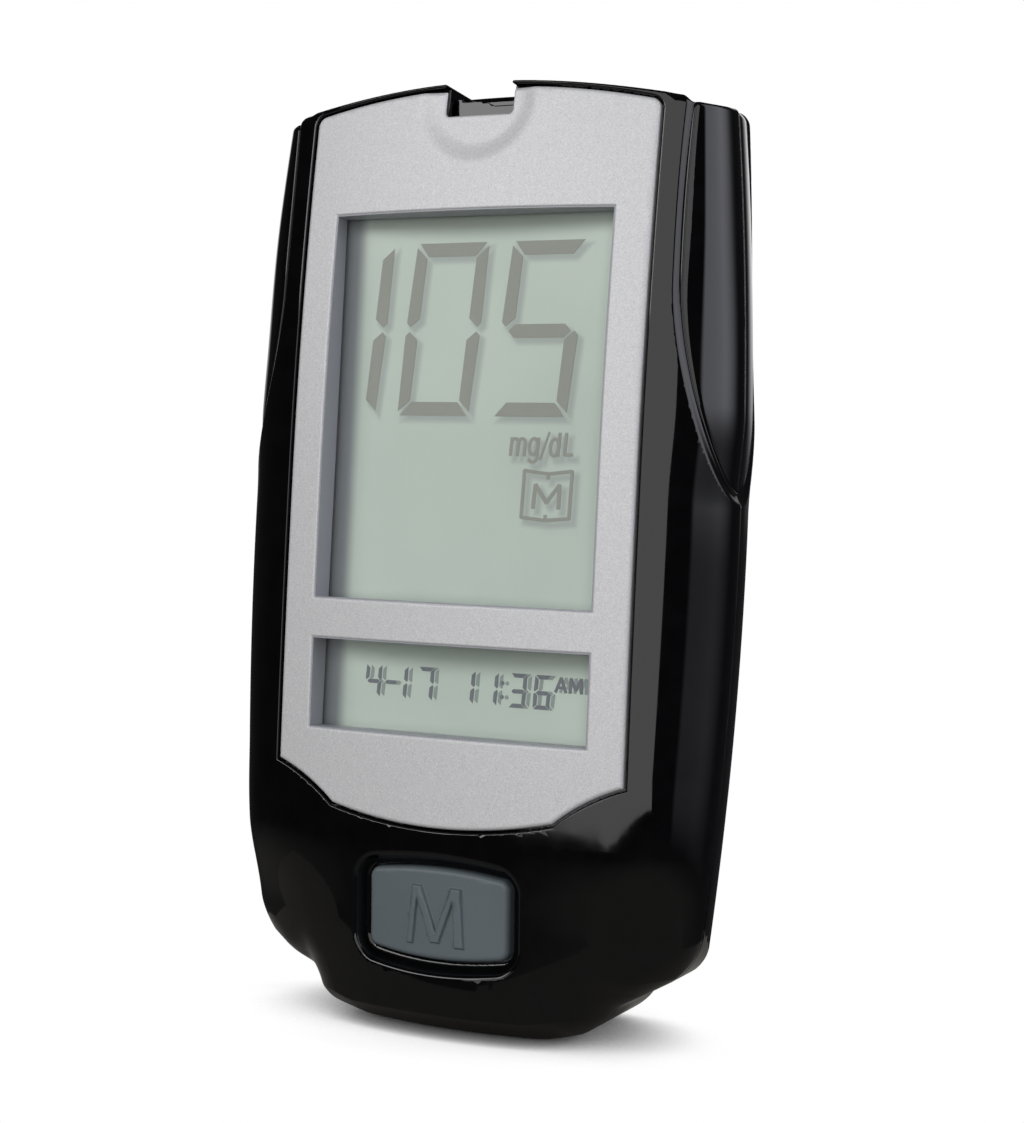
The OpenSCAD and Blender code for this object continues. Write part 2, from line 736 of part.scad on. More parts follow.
// Strip port: a block behind the notch, open at the top for the test strip
module strip_port() {
  color([0.06, 0.06, 0.065]) difference() {
    union() {
      box([-port_half, port_y0, port_z0], [port_half, board_y0, port_z1]);
      box([-notch_half + 0.2, port_y0, port_z1 - 1], [notch_half - 0.2, slot_y + 2.6, port_nose_z]);
    }
    box([-slot_half, slot_y, port_z0 + 1], [slot_half, slot_y + slot_t, port_nose_z + 1]);
    for (i = [-2 : 2]) translate([port_pitch * i - port_blade / 2, slot_y + slot_t, port_z0 - 1])
      translate([0, -0.1, 0]) cube([port_blade, 0.4, port_z1 - port_z0 - 1]);
  }
}

module strip_contacts() {
  half = port_blade / 2;
  color([0.8, 0.65, 0.3]) for (i = [-2 : 2]) translate([port_pitch * i, slot_y + slot_t, port_z0]) {
    box([-half, 0, -0.5], [half, 0.25, port_z1 - port_z0 - 2]);
    box([-half, 0, -0.75], [half, board_y0 - slot_y - slot_t, -0.5]);
  }
}

// Push button: an arched cap with a flange behind the front wall
module main_button() {
  color([0.36, 0.4, 0.43]) {
    intersection() {
      slab(front_y, flange_y1) button_outline();
      case_loft(button_sink);
    }
    slab(flange_y0, flange_y1) button_outline(flange_margin);
  }
}

// Silicone dome that carries the button and springs it back
module button_dome() {
  height = board_y0 - flange_y1;
  hollow = button_travel + 0.4;
  color([0.8, 0.8, 0.78]) translate([0, board_y0, button_z]) rotate([90, 0, 0]) difference() {
    rotate_extrude() polygon([
      [0, 0], [dome_base_r, 0], [dome_base_r, 0.6], [dome_top_r, height - 0.8],
      [dome_top_r, height], [0, height]
    ]);
    translate([0, 0, -1]) cylinder(h = 1 + hollow, r = dome_top_r);
  }
}

module set_switch() {
  half = 2;
  color([0.15, 0.15, 0.16]) difference() {
    box([-half, board_y1, set_z - half], [half, board_y1 + 1.4, set_z + half]);
    bar_y(0, set_z, set_r + 0.05, board_y1 + 0.4, board_y1 + 2);
  }
}

module set_button() {
  color([0.85, 0.85, 0.83])
    bar_y(0, set_z, set_r, board_y1 + 0.4 + set_travel + 0.05, bay_y0 + 0.8);
}

// One AAA cell, standing on its flat end
module cell() {
  cylinder(h = cell_len - cell_nub, r = cell_r);
  cylinder(h = cell_len, r = 1.9);
}

module battery_1() {
  color([0.2, 0.42, 0.3])
    translate([-cell_x, cell_y, bay_z0 + contact_t + spring_len]) cell();
}

module battery_2() {
  color([0.2, 0.42, 0.3])
    translate([cell_x, cell_y, bay_z0 + contact_t + pad_h + cell_len]) mirror([0, 0, 1]) cell();
}

// Coil of a battery spring, swept along a helix with flattened end turns
module battery_coil() {
  wire_r = 0.3;
  coil_r = 2.6;
  turns = 3;
  steps = 14;
  sides = 6;
  count = turns * steps;
  seat = 0.1;
  tip_gap = 0.02;
  function rise(i) = wire_r - seat + (spring_len - 2 * wire_r + seat - tip_gap) * i / count;
  ring = [for (i = [0 : count]) for (k = [0 : sides - 1])
    let (a = 360 * i / steps, b = 360 * k / sides, r = coil_r + wire_r * cos(b))
      [r * cos(a), r * sin(a), rise(i) + wire_r * sin(b)]];
  faces = concat(
    [[for (k = [sides - 1 : -1 : 0]) k]],
    [for (i = [0 : count - 1]) for (k = [0 : sides - 1]) let (n = (k + 1) % sides)
      [i * sides + k, i * sides + n, (i + 1) * sides + n, (i + 1) * sides + k]],
    [[for (k = [0 : sides - 1]) count * sides + k]]
  );
  polyhedron(ring, faces);
}

// Sheet of a battery contact between two widths, against one end of the bay
module contact_sheet(x0, x1, z) {
  box([x0, cell_y - contact_half_w, z], [x1, cell_y + contact_half_w, z + contact_t]);
}

module bridge_contact() {
  edge = bay_half - 0.2;
  color([0.78, 0.79, 0.8]) {
    contact_sheet(-edge, edge, bay_z0);
    translate([-cell_x, cell_y, bay_z0 + contact_t]) battery_coil();
    translate([cell_x, cell_y, bay_z0]) cylinder(h = contact_t + pad_h, r = pad_r);
  }
}

module positive_contact() {
  top = bay_z1 - contact_t;
  color([0.78, 0.79, 0.8]) {
    contact_sheet(-bay_half + 0.2, -0.6, top);
    translate([-cell_x, cell_y, top - pad_h]) cylinder(h = contact_t + pad_h, r = pad_r);
  }
}

module negative_contact() {
  top = bay_z1 - contact_t;
  color([0.78, 0.79, 0.8]) {
    contact_sheet(0.6, bay_half - 0.2, top);
    translate([cell_x, cell_y, top]) mirror([0, 0, 1]) battery_coil();
  }
}

// Cross recess in the face of a screw head
module cross_recess(head_r, y) {
  for (turn = [0, 90]) translate([0, y, 0]) rotate([0, turn, 0])
    cube([1.3 * head_r, 0.7 * head_r, 0.3 * head_r], center = true);
}

module case_screws() {
  head_y = seat_y + case_head_h;
  color([0.6, 0.61, 0.63]) screw_places() difference() {
    union() {
      bar_y(0, 0, case_screw_r, screw_tip_y, seat_y);
      bar_y(0, 0, case_head_r, seat_y, head_y);
    }
    cross_recess(case_head_r, head_y);
  }
}

module board_screws() {
  head_y = board_y1 + board_head_h;
  color([0.6, 0.61, 0.63]) board_screw_places() difference() {
    union() {
      bar_y(0, 0, board_screw_r, board_y0 - board_screw_len, board_y1);
      bar_y(0, 0, board_head_r, board_y1, head_y);
    }
    cross_recess(board_head_r, head_y);
  }
}

front_case();
rear_case();
battery_door();
rating_label();
faceplate();
display_lens();
lcd_glass();
lcd_frame();
upper_connector();
lower_connector();
circuit_board();
microcontroller();
crystal();
board_components();
buzzer();
strip_port();
strip_contacts();
main_button();
button_dome();
set_switch();
set_button();
battery_1();
battery_2();
bridge_contact();
positive_contact();
negative_contact();
case_screws();
board_screws();
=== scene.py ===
"""Looks of a blood glucose meter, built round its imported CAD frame.

The rigid skins are solid models: each is a field, a function that is negative inside the solid and
positive outside, made of a few smooth surfaces joined with round edges. skin() turns a field into
a closed mesh. Fields work in millimetres, in the frame's own axes, and the meshes in metres.
"""

import functools
import itertools
import math

import bpy
import numpy as np
import openvdb
from mathutils import Matrix, Vector


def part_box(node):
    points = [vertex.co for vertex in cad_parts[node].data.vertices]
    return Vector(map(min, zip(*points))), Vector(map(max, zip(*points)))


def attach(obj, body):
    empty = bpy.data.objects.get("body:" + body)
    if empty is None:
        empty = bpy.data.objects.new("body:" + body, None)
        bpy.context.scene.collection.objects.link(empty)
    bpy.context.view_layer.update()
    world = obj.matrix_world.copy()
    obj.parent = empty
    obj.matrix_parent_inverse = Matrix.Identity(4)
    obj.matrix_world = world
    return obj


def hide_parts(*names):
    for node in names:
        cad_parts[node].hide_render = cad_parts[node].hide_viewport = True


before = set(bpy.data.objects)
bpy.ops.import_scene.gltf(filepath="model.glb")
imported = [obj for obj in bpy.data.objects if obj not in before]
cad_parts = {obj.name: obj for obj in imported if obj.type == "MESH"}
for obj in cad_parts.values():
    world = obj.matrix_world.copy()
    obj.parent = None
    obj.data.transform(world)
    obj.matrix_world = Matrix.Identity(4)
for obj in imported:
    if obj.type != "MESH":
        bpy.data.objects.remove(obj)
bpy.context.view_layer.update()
scene = bpy.context.scene

MM = 0.001


def box_mm(node):
    """Lowest and highest corner of a CAD node, in millimetres."""
    low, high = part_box(node)
    return Vector(low) / MM, Vector(high) / MM


# -------- driving dimensions, millimetres

CASE_LOW, CASE_HIGH = box_mm("rear_case")
LENS_LOW, LENS_HIGH = box_mm("display_lens")
LCD_LOW, LCD_HIGH = box_mm("lcd_glass")
PORT_LOW, PORT_HIGH = box_mm("strip_port")
DOOR_LOW, DOOR_HIGH = box_mm("battery_door")
FLANGE_LOW, FLANGE_HIGH = box_mm("main_button")
BOARD_LOW = box_mm("circuit_board")[0]
LABEL_LOW, LABEL_HIGH = box_mm("rating_label")
CELL_LOW, CELL_HIGH = box_mm("battery_1")
BUZZER_LOW, BUZZER_HIGH = box_mm("buzzer")

BODY_H = CASE_HIGH.z
BODY_W = CASE_HIGH.x - CASE_LOW.x
BACK_Y = CASE_HIGH.y
SPLIT_Y = CASE_LOW.y

# Crown of the front: bows along the height, and across it as y = bow * x^2
CROWN_Z = 56.0
BOW_TOP_R = 357.0
BOW_LOW_R = 1000.0
CREST_Y = SPLIT_Y - 11.0
PLATE_BOW = 0.0046
CHIN_BOW = 0.0037
CHIN_TIGHTER = 0.000026

# Outline seen from the front
BULGE_Z = 50.0
SIDE_R = 410.0
TOP_R = (92.0, 200.0)
TOP_CORNER_R = 1.0
WING_LINE = (16.6, 3.85, 0.504, -0.864)
WING_TIP_R = 2.6
CHIN_HALF = 15.4
FOOT_CORNER = (6.2, 3.2)
WING_FLOOR = 1.9
ARMPIT_R = 1.6

# Flanks outside the crease that runs down from the faceplate's edge
CREASE_X = 19.25
CREASE_Z = 26.6
CREASE_FALL = 0.0211
CREASE_POWER = 1.7
CREASE_R = 0.16
FLANK_SLOPE = (0.2, 0.45)

TOP_EDGE_R = (0.22, 0.8)
FOOT_EDGE_R = (6.5, 5.2, 2.5)
REAR_CORNER = (13.9, 10.3)
REAR_TOP_R = 1.3
REAR_FOOT_R = (3.5, 1.5)
WALL = 1.6
FRONT_WALL = 2.2
SEAM_R = 0.16

# Thumb grips: panels sunk into the flanks above an S-shaped edge
GRIP_DEPTH = 0.45
GRIP_SWELL = 0.62
BEAD_R = 0.17
BEAD_IN = 0.62
BEAD_SINK = 0.03
BEAD_START = (21.5, SPLIT_Y - 8.0, 93.6)
BEAD_TOP_Z = 93.8
BEAD_STEP = 0.4
GRIP_TIP_Z = 55.0
GRIP_WIDE_Z = 75.0
GRIP_SPAN = 7.75
GRIP_REACH = (13.0, 10.3)

# Faceplate
PLATE_HALF = 19.0
PLATE_T = 1.0
PLATE_GAP = 0.25
PLATE_TOP = (95.4, 95.0)
TONGUE_LOW = 21.1
TONGUE_R = 49.6
SHOULDER_C = (25.8, 6.92)
SHOULDER_R = 20.8
WINDOW_HALF = 15.2
MAIN_WINDOW = (43.5, 82.8)
SMALL_WINDOW = (30.2, 39.25)
LINER_T = 0.12
LINER_IN = 0.14
LINER_W = 0.35
NOTCH = (-3.6, 3.6, 92.75)
DISH = (0.0, 94.2, 5.3, 0.55)

# Button and its basin
BUTTON_Z = 12.5
BUTTON_HALF = 7.7
BUTTON_RISE = 4.575
BUTTON_ARCH = 0.7
BUTTON_GAP = 0.25
BUTTON_SINK = 0.8
LETTER_RISE = 0.36
BASIN_MARGIN = 1.35
BASIN_DEPTH = 1.6
FLANGE_Y = FLANGE_HIGH.y

# Inside the front shell
LAND_HALF = 18.6
LAND_Z = (26.7, 86.3)
CASE_SCREWS = ((20.8, 24.5), (20.8, 84.0))
CASE_SCREW_TIP = SPLIT_Y - 5.8
# Radii of the case screws' pilot holes, through holes and wells
PILOT_R, HOLE_R, WELL_R = 0.93, 1.1, 1.9
BOSS_R = 2.2
BOARD_SCREWS = ((15.5, 24.2), (15.5, 88.0))
BOARD_BOSS_R = 1.9

# Rear shell
OUT_Y = 40.0
BAY_HALF = 11.05
BAY_Y = -0.1
BAY_Z = (17.0, 65.6)
BAY_WALL = 1.8
COLUMN_R = 2.6
SCREW_SEAT = SPLIT_Y + 3.5
DOOR_HALF = DOOR_HIGH.x - 1.0
DOOR_Y = BACK_Y - 1.5
DOOR_TOP = DOOR_HIGH.z
DOOR_GAP = 0.15
HINGE = (BACK_Y - 0.75, BAY_Z[0] - 1.0)
# Radii of the cover's knuckle and pins, and of their seats in the case
KNUCKLE_R, KNUCKLE_SEAT_R = 0.75, 0.9
PIN_R, PIN_SEAT_R = 0.5, 0.58
# The cover's finger scoop: its distance below the top, its axis behind the back, and its radius
SCOOP = (5.0, 5.3, 6.0)
SET_Z = BAY_Z[0] + 15.0
SET_HOLE_R = 1.2
SOUND_PITCH = 2.2
SOUND_HOLE_R = 0.6
BUZZER_Z = (BUZZER_LOW.z + BUZZER_HIGH.z) / 2

# Strip port: its front, the top of its block, and the top of its nose
PORT_Y = PORT_LOW.y
SLOT_Y = PORT_Y + 1.2
PORT_Z = (PORT_LOW.z, PORT_HIGH.z - 1.5, PORT_HIGH.z)
NOTCH_BACK = SLOT_Y + 3.0
NOSE_STEP = 0.9
BASE_HALF, NOSE_HALF, SLOT_HALF = 5.4, 3.4, 2.9
LEAD_IN = 0.4


# -------- fields


def smooth(t):
    """Soft step from 0 to 1."""
    t = np.clip(t, 0.0, 1.0)
    return t * t * (3.0 - 2.0 * t)


def blend(ends, t):
    return ends[0] + (ends[1] - ends[0]) * smooth(t)


def both(a, b, r=0.0):
    """Where both solids are, with the edge between them sharp or rounded to radius r."""
    if isinstance(r, float) and r == 0.0:
        return np.maximum(a, b)
    edge = np.hypot(np.maximum(a + r, 0.0), np.maximum(b + r, 0.0))
    return np.minimum(np.maximum(a, b), -r) + edge


def either(a, b, r=0.0):
    """Where either solid is, with the inner corner sharp or filled to radius r."""
    if isinstance(r, float) and r == 0.0:
        return np.minimum(a, b)
    return -both(-a, -b, r)


def corner(a, b, reach_a, reach_b, power_a=2.0, power_b=2.0):
    """Solid behind faces a and b, whose corner is a superellipse of the given reaches."""
    u = np.maximum(1.0 + a / reach_a, 1e-4)
    v = np.maximum(1.0 + b / reach_b, 1e-4)
    steep = np.hypot(power_a * u ** (power_a - 1) / reach_a, power_b * v ** (power_b - 1) / reach_b)
    rounded = (u**power_a + v**power_b - 1.0) / np.maximum(steep, 1e-3)
    return np.maximum(rounded, np.maximum(a, b) - reach_a)


def slab(v, low, high):
    return np.maximum(low - v, v - high)


def block(x, y, z, low, high, r=0.0):
    across, deep, up = (slab(v, *ends) for v, *ends in zip((x, y, z), low, high))
    return both(both(across, up, r), deep, r)


def bar_y(x, z, cx, cz, r):
    return np.hypot(x - cx, z - cz) - r


# -------- meshing

TILE = 6
BATCH = 6000


def mesh_piece(name, points, faces, soft=False):
    """A new object from points in millimetres."""
    mesh = bpy.data.meshes.new(name)
    mesh.from_pydata((np.array(points, float) * MM).tolist(), [], faces)
    mesh.validate()
    if soft:
        mesh.shade_smooth()
    piece = bpy.data.objects.new(name, mesh)
    scene.collection.objects.link(piece)
    return piece


def near_surface(field, low, counts, step):
    """The field on a grid. Only the tiles that the surface may cross are worked out point by point."""
    tiles = [math.ceil(n / TILE) for n in counts]
    centres = [low[a] + step * (np.arange(tiles[a]) * TILE + (TILE - 1) / 2) for a in range(3)]
    coarse = field(*np.ix_(*(c.astype(np.float32) for c in centres)))
    coarse = np.broadcast_to(coarse, tiles).astype(np.float32)
    reach = 1.5 * step * TILE * math.sqrt(3) / 2
    values = np.empty((*tiles, TILE, TILE, TILE), np.float32)
    values[...] = np.clip(coarse, -1.0, 1.0)[..., None, None, None]
    chosen = np.argwhere(np.abs(coarse) < reach)
    for start in range(0, len(chosen), BATCH):
        part = chosen[start : start + BATCH]
        places = (part[:, a, None] * TILE + np.arange(TILE) for a in range(3))
        x, y, z = ((low[a] + step * place).astype(np.float32) for a, place in enumerate(places))
        got = field(x[:, :, None, None], y[:, None, :, None], z[:, None, None, :])
        values[tuple(part.T)] = np.broadcast_to(got, (len(part), TILE, TILE, TILE))
    return values.transpose(0, 3, 1, 4, 2, 5).reshape([t * TILE for t in tiles])


def gradient(field, points, step=0.02):
    """Slope of the field at each point, by differences."""
    shifts = np.eye(3) * step
    parts = [(field(*(points + e).T) - field(*(points - e).T)) / (2 * step) for e in shifts]
    return np.stack(parts, 1)


def skin(name, field, low, high, step, adapt):
    """Closed mesh of the solid where the field is negative, with normals from the field."""
    low = np.array(low, float) - 1.5 * step
    counts = np.ceil((np.array(high, float) + 1.5 * step - low) / step).astype(int) + 1
    values = near_surface(field, low, counts, step)
    grid = openvdb.FloatGrid(1.0)
    grid.copyFromArray(np.clip(values, -1.0, 1.0))
    points, triangles, quads = grid.convertToPolygons(isovalue=0.0, adaptivity=adapt)
    points = points.astype(np.float64) * step + low
    for _ in range(3):
        slope = gradient(field, points)
        size = np.maximum((slope**2).sum(1), 0.2)
        move = slope * (field(*points.T) / size)[:, None]
        length = np.linalg.norm(move, axis=1, keepdims=True)
        points -= move * np.minimum(1.0, 0.5 * step / np.maximum(length, 1e-9))
    normals = gradient(field, points)
    normals /= np.maximum(np.linalg.norm(normals, axis=1, keepdims=True), 1e-9)
    piece = mesh_piece(name, points, triangles.tolist() + quads.tolist(), soft=True)
    piece.data.normals_split_custom_set_from_vertices(normals.tolist())
    return piece


# -------- forms of the case


def bow_depth(z):
    """How far the crown falls back at a height."""
    above = z - CROWN_Z
    return above**2 * np.where(above > 0, 1 / (2 * BOW_TOP_R), 1 / (2 * BOW_LOW_R))


def bow_across(z):
    """Bow of the front across its width, which tightens down the chin."""
    low = np.clip(20.0 - z, 0.0, 14.0)
    return PLATE_BOW + CHIN_BOW * smooth((20.0 - z) / 9.0) + CHIN_TIGHTER * low**2


def front_depth(x, z):
    return CREST_Y + bow_depth(z) + bow_across(z) * x * x


def crown(x, y, z):
    """The curved front surface that faceplate, chin and button share."""
    slope = 2 * bow_across(z) * x
    return (front_depth(x, z) - y) / np.sqrt(1 + slope**2)


def side_at(z):
    """Half width, with the swell that the thumb grips are sunk back into."""
    swell = GRIP_SWELL * smooth((z - GRIP_TIP_Z + 1.0) / 10.0)
    return BODY_W / 2 - (z - BULGE_Z) ** 2 / (2 * SIDE_R) + swell


def top_edge(x, y, z):
    """Top of the case: its front edge is more arched than its joint line."""
    back = np.clip((y - CREST_Y - 1.5) / (SPLIT_Y - CREST_Y - 1.5), 0.0, 1.0)
    rear = smooth((y - SPLIT_Y) / 8.0)
    bow = (0.5 / TOP_R[0]) * (1.0 - back) + (0.5 / TOP_R[1]) * back - 0.001 * rear
    return (z - BODY_H + bow * x * x) / np.sqrt(1 + (2 * bow * x) ** 2)


def bottom_edge(ax, z):
    """Foot of the chin and the undersides of the wings beside it."""
    wing_x, wing_z, run, fall = WING_LINE
    wing = both((ax - wing_x) * run + (z - wing_z) * fall, WING_FLOOR - z)
    foot = corner(-z, ax - CHIN_HALF, FOOT_CORNER[1], FOOT_CORNER[0], 1.7, 1.7)
    return either(foot, wing, ARMPIT_R)


def outline(x, y, z):
    """Front view of the case."""
    ax = np.abs(x)
    upper = both(ax - side_at(z), top_edge(x, y, z), TOP_CORNER_R)
    return both(upper, bottom_edge(ax, z), WING_TIP_R)


def front_form(x, y, z):
    """Outside of the front shell, before the grips are sunk in."""
    ax = np.abs(x)
    crease = CREASE_X - CREASE_FALL * np.maximum(CREASE_Z - z, 0.0) ** CREASE_POWER
    slope = blend(FLANK_SLOPE, (27.0 - z) / 18.0)
    edge = side_at(z)
    plane = front_depth(crease, z) + slope * (ax - crease)
    reach_y = SPLIT_Y + 0.5 - (plane + slope * (edge - ax))
    fuller = 2.0 + 0.8 * smooth((z - 68.0) / 16.0) + 1.0 * smooth((28.0 - z) / 12.0)
    flank = corner(plane - y, ax - edge, reach_y, edge - crease - 0.75, 2.5, fuller)
    front = both(crown(x, y, z), flank, CREASE_R)
    lip_r = blend(TOP_EDGE_R, (ax - PLATE_HALF - 0.2) / 1.2)
    front = both(front, top_edge(x, y, z), lip_r)
    chin_r = blend(FOOT_EDGE_R, (ax - 10.5) / 4.0)
    wing_r = chin_r + (FOOT_EDGE_R[2] - FOOT_EDGE_R[1]) * smooth((ax - 16.0) / 4.0)
    front = both(front, bottom_edge(ax, z), wing_r)
    return both(front, outline(x, y, z))


def rear_form(x, y, z):
    """Outside of the rear shell, before the grips are sunk in."""
    ax = np.abs(x)
    back = corner(y - BACK_Y, ax - side_at(z), REAR_CORNER[0], REAR_CORNER[1], 1.9, 2.0)
    back = both(back, top_edge(x, y, z), REAR_TOP_R)
    foot_r = blend(REAR_FOOT_R, (ax - 13.0) / 5.0)
    back = both(back, bottom_edge(ax, z), foot_r)
    return both(back, outline(x, y, z))


def grip(x, y, z, reach):
    """Distance into the thumb grip from its S-shaped edge, along the surface."""
    from_seam = GRIP_SPAN - (np.abs(x) - PLATE_HALF) + np.abs(y - SPLIT_Y)
    width = reach - 0.0045 * np.maximum(z - GRIP_WIDE_Z, 0.0) ** 2
    up = np.maximum(GRIP_WIDE_Z - z, 0.0) / (GRIP_WIDE_Z - GRIP_TIP_Z)
    along = np.maximum(from_seam, 1e-3) / width
    steep = np.hypot(2.66 * along**1.05 / width, 1.6 * up**0.6 / (GRIP_WIDE_Z - GRIP_TIP_Z))
    return (1.0 - along**2.05 - up**1.6) / np.maximum(steep, 0.02)


def sink_grip(form, x, y, z, reach):
    """Cuts the grip in, with a shallow channel inside its edge for the bead."""
    d = grip(x, y, z, reach)
    step = GRIP_DEPTH * smooth((d + 0.65) / 1.0)
    channel = 0.12 * np.exp(-(((d - BEAD_IN) / 0.3) ** 2))
    return form + step + channel


def plate_view(x, z):
    """Front view of the faceplate."""
    ax = np.abs(x)
    top = z - PLATE_TOP[0] + x * x / (2 * PLATE_TOP[1])
    upper = both(ax - PLATE_HALF, top, 0.9)
    tongue = np.hypot(x, z - (TONGUE_LOW + TONGUE_R)) - TONGUE_R
    shoulder = SHOULDER_R - np.hypot(ax - SHOULDER_C[0], z - SHOULDER_C[1])
    lower = np.where(ax > 4.0, both(tongue, shoulder), tongue)
    return both(upper, lower)


def button_view(x, z):
    """Front view of the button: straight sides, arched top and bottom."""
    rise = BUTTON_RISE - BUTTON_ARCH * (x / BUTTON_HALF) ** 2
    return both(np.abs(x) - BUTTON_HALF, np.abs(z - BUTTON_Z) - rise, 0.9)


def window_view(x, z, span):
    return both(np.abs(x) - WINDOW_HALF, slab(z, *span))


def posts(x, z, places, radius):
    """Round bars along Y, mirrored to both sides."""
    ax = np.abs(x)
    return either(*(bar_y(ax, z, px, pz, radius) for px, pz in places))


def front_shell(x, y, z):
    """Shell with the faceplate's seat, the button's basin, the strip notch and the screw posts."""
    ax = np.abs(x)
    skin_depth = crown(x, y, z)
    form = front_form(x, y, z)
    cavity = both(form + WALL, skin_depth + FRONT_WALL)
    cavity = both(cavity, slab(y, -20.0, SPLIT_Y + 3.0))
    solid = sink_grip(form, x, y, z, GRIP_REACH[0])
    shell = both(solid, -cavity)
    land = block(x, y, z, (-LAND_HALF, -20.0, LAND_Z[0]), (LAND_HALF, LENS_HIGH.y, LAND_Z[1]), 0.3)
    fill = either(land, posts(x, z, CASE_SCREWS, BOSS_R))
    board_posts = posts(x, z, BOARD_SCREWS, BOARD_BOSS_R)
    fill = either(fill, both(board_posts, y - BOARD_LOW.y))
    shell = either(shell, both(solid, fill))
    shell = both(shell, y - SPLIT_Y, SEAM_R)
    seat = both(plate_view(x, z) - PLATE_GAP, -skin_depth - PLATE_T - 0.05)
    shell = both(shell, -seat, 0.22)
    opening = both(ax - WINDOW_HALF - 0.4, slab(z, SMALL_WINDOW[0] - 0.4, MAIN_WINDOW[1] + 0.4))
    lens = block(x, y, z, LENS_LOW, LENS_HIGH)
    shell = both(shell, -either(opening, lens))
    around = button_view(x, z)
    basin = both((around - BASIN_MARGIN - 0.5 * skin_depth) / 1.12, -skin_depth - BASIN_DEPTH, 0.3)
    shell = both(shell, -basin, 0.32)
    shell = both(shell, BUTTON_GAP - around, 0.12)
    notch = both(slab(x, *NOTCH[:2]), NOTCH[2] - z)
    notch = both(notch, y - NOTCH_BACK)
    shell = both(shell, -notch, 0.2)
    screws = both(posts(x, z, CASE_SCREWS, PILOT_R), CASE_SCREW_TIP - y)
    return both(shell, -screws)


def from_hinge(y, z):
    return np.hypot(y - HINGE[0], z - HINGE[1])


def from_row(v):
    """Distance to the nearest of three rows of sound holes."""
    return np.abs(v - SOUND_PITCH * np.clip(np.round(v / SOUND_PITCH), -1, 1))


def rear_shell(x, y, z):
    """Shell with the battery bay, the cover's seat and hinge, screw wells and sound holes."""
    ax = np.abs(x)
    form = rear_form(x, y, z)
    cavity = both(form + WALL, SPLIT_Y - 3.0 - y)
    solid = sink_grip(form, x, y, z, GRIP_REACH[1])
    shell = both(solid, -cavity)
    half = BAY_HALF + BAY_WALL
    low, high = (-half, BAY_Y - 1.0, BAY_Z[0] - 2.6), (half, OUT_Y, BAY_Z[1] + 2.6)
    bay_block = block(x, y, z, low, high, 0.4)
    fill = either(bay_block, posts(x, z, CASE_SCREWS, COLUMN_R))
    shell = either(shell, both(solid, fill))
    shell = both(shell, SPLIT_Y - y, SEAM_R)
    bay = block(x, y, z, (-BAY_HALF, BAY_Y, BAY_Z[0]), (BAY_HALF, OUT_Y, BAY_Z[1]), 0.25)
    shell = both(shell, -bay, 0.15)
    seat = both(ax - DOOR_HALF - DOOR_GAP, slab(z, HINGE[1], DOOR_TOP + DOOR_GAP))
    seat = both(seat, DOOR_Y - y)
    barrel = from_hinge(y, z) - KNUCKLE_SEAT_R
    mouth = both(slab(z, HINGE[1] - KNUCKLE_SEAT_R, HINGE[1] + 0.1), HINGE[0] - y)
    hinge = both(either(barrel, mouth), ax - DOOR_HALF - DOOR_GAP)
    shell = both(shell, -either(seat, hinge), 0.15)
    pin = both(from_hinge(y, z) - PIN_SEAT_R, ax - DOOR_HALF - 1.2)
    shell = both(shell, -pin)
    wells = both(posts(x, z, CASE_SCREWS, WELL_R), SCREW_SEAT - y)
    shell = both(shell, -wells, 0.15)
    shell = both(shell, -posts(x, z, CASE_SCREWS, HOLE_R))
    set_hole = both(bar_y(x, z, 0.0, SET_Z, SET_HOLE_R), y - BAY_Y - 1.0)
    shell = both(shell, -set_hole, 0.1)
    holes = np.hypot(from_row(x), from_row(z - BUZZER_Z)) - SOUND_HOLE_R
    return both(shell, -both(holes, BACK_Y - 4.0 - y), 0.1)


def faceplate_shell(x, y, z):
    """Thin plate on the crown, with two windows, a thumb dish and the strip notch."""
    depth = crown(x, y, z)
    view = plate_view(x, z)
    plate = both(both(depth, view, 0.42), -depth - PLATE_T, 0.1)
    window = either(window_view(x, z, MAIN_WINDOW), window_view(x, z, SMALL_WINDOW))
    plate = both(plate, LINER_T - window, 0.2)
    rho = np.hypot(x, z - DISH[1])
    bowl = both((rho - DISH[2] - 0.55 - 1.3 * depth) / 1.64, -depth - DISH[3], 0.45)
    plate = both(plate, -bowl, 0.55)
    notch = both(slab(x, *NOTCH[:2]), NOTCH[2] - z, 0.35)
    return both(plate, -notch, 0.35)


def button_cap(x, y, z):
    """Button with its raised letter, and the flange that keeps it in."""
    depth = crown(x, y, z) + BUTTON_SINK
    view = button_view(x, z)
    cap = both(both(depth, view, 0.55), y - FLANGE_Y)
    letter = both(letter_m(x, z) + 0.4 * np.maximum(depth, 0.0), -depth - 0.5)
    cap = either(cap, both(letter, depth - LETTER_RISE, 0.08), 0.05)
    flange = both(view - 0.9, slab(y, FLANGE_Y - 0.8, FLANGE_Y), 0.1)
    return either(cap, flange)


def stroke(x, z, start, end, half):
    """A straight bar in front view whose ends are level."""
    run = (end[0] - start[0]) / (end[1] - start[1])
    middle = start[0] + run * (z - start[1])
    across = (np.abs(x - middle) - half) / math.hypot(1.0, run)
    return both(across, slab(z, *sorted((start[1], end[1]))))


def letter_m(x, z):
    left = stroke(x, z, (-2.75, 9.3), (-2.25, 15.3), 0.4)
    down = stroke(x, z, (-2.1, 15.3), (0.1, 9.6), 0.56)
    rise = stroke(x, z, (0.1, 9.6), (2.0, 15.3), 0.44)
    right = stroke(x, z, (2.25, 15.3), (2.7, 9.3), 0.56)
    return either(either(left, down), either(rise, right))


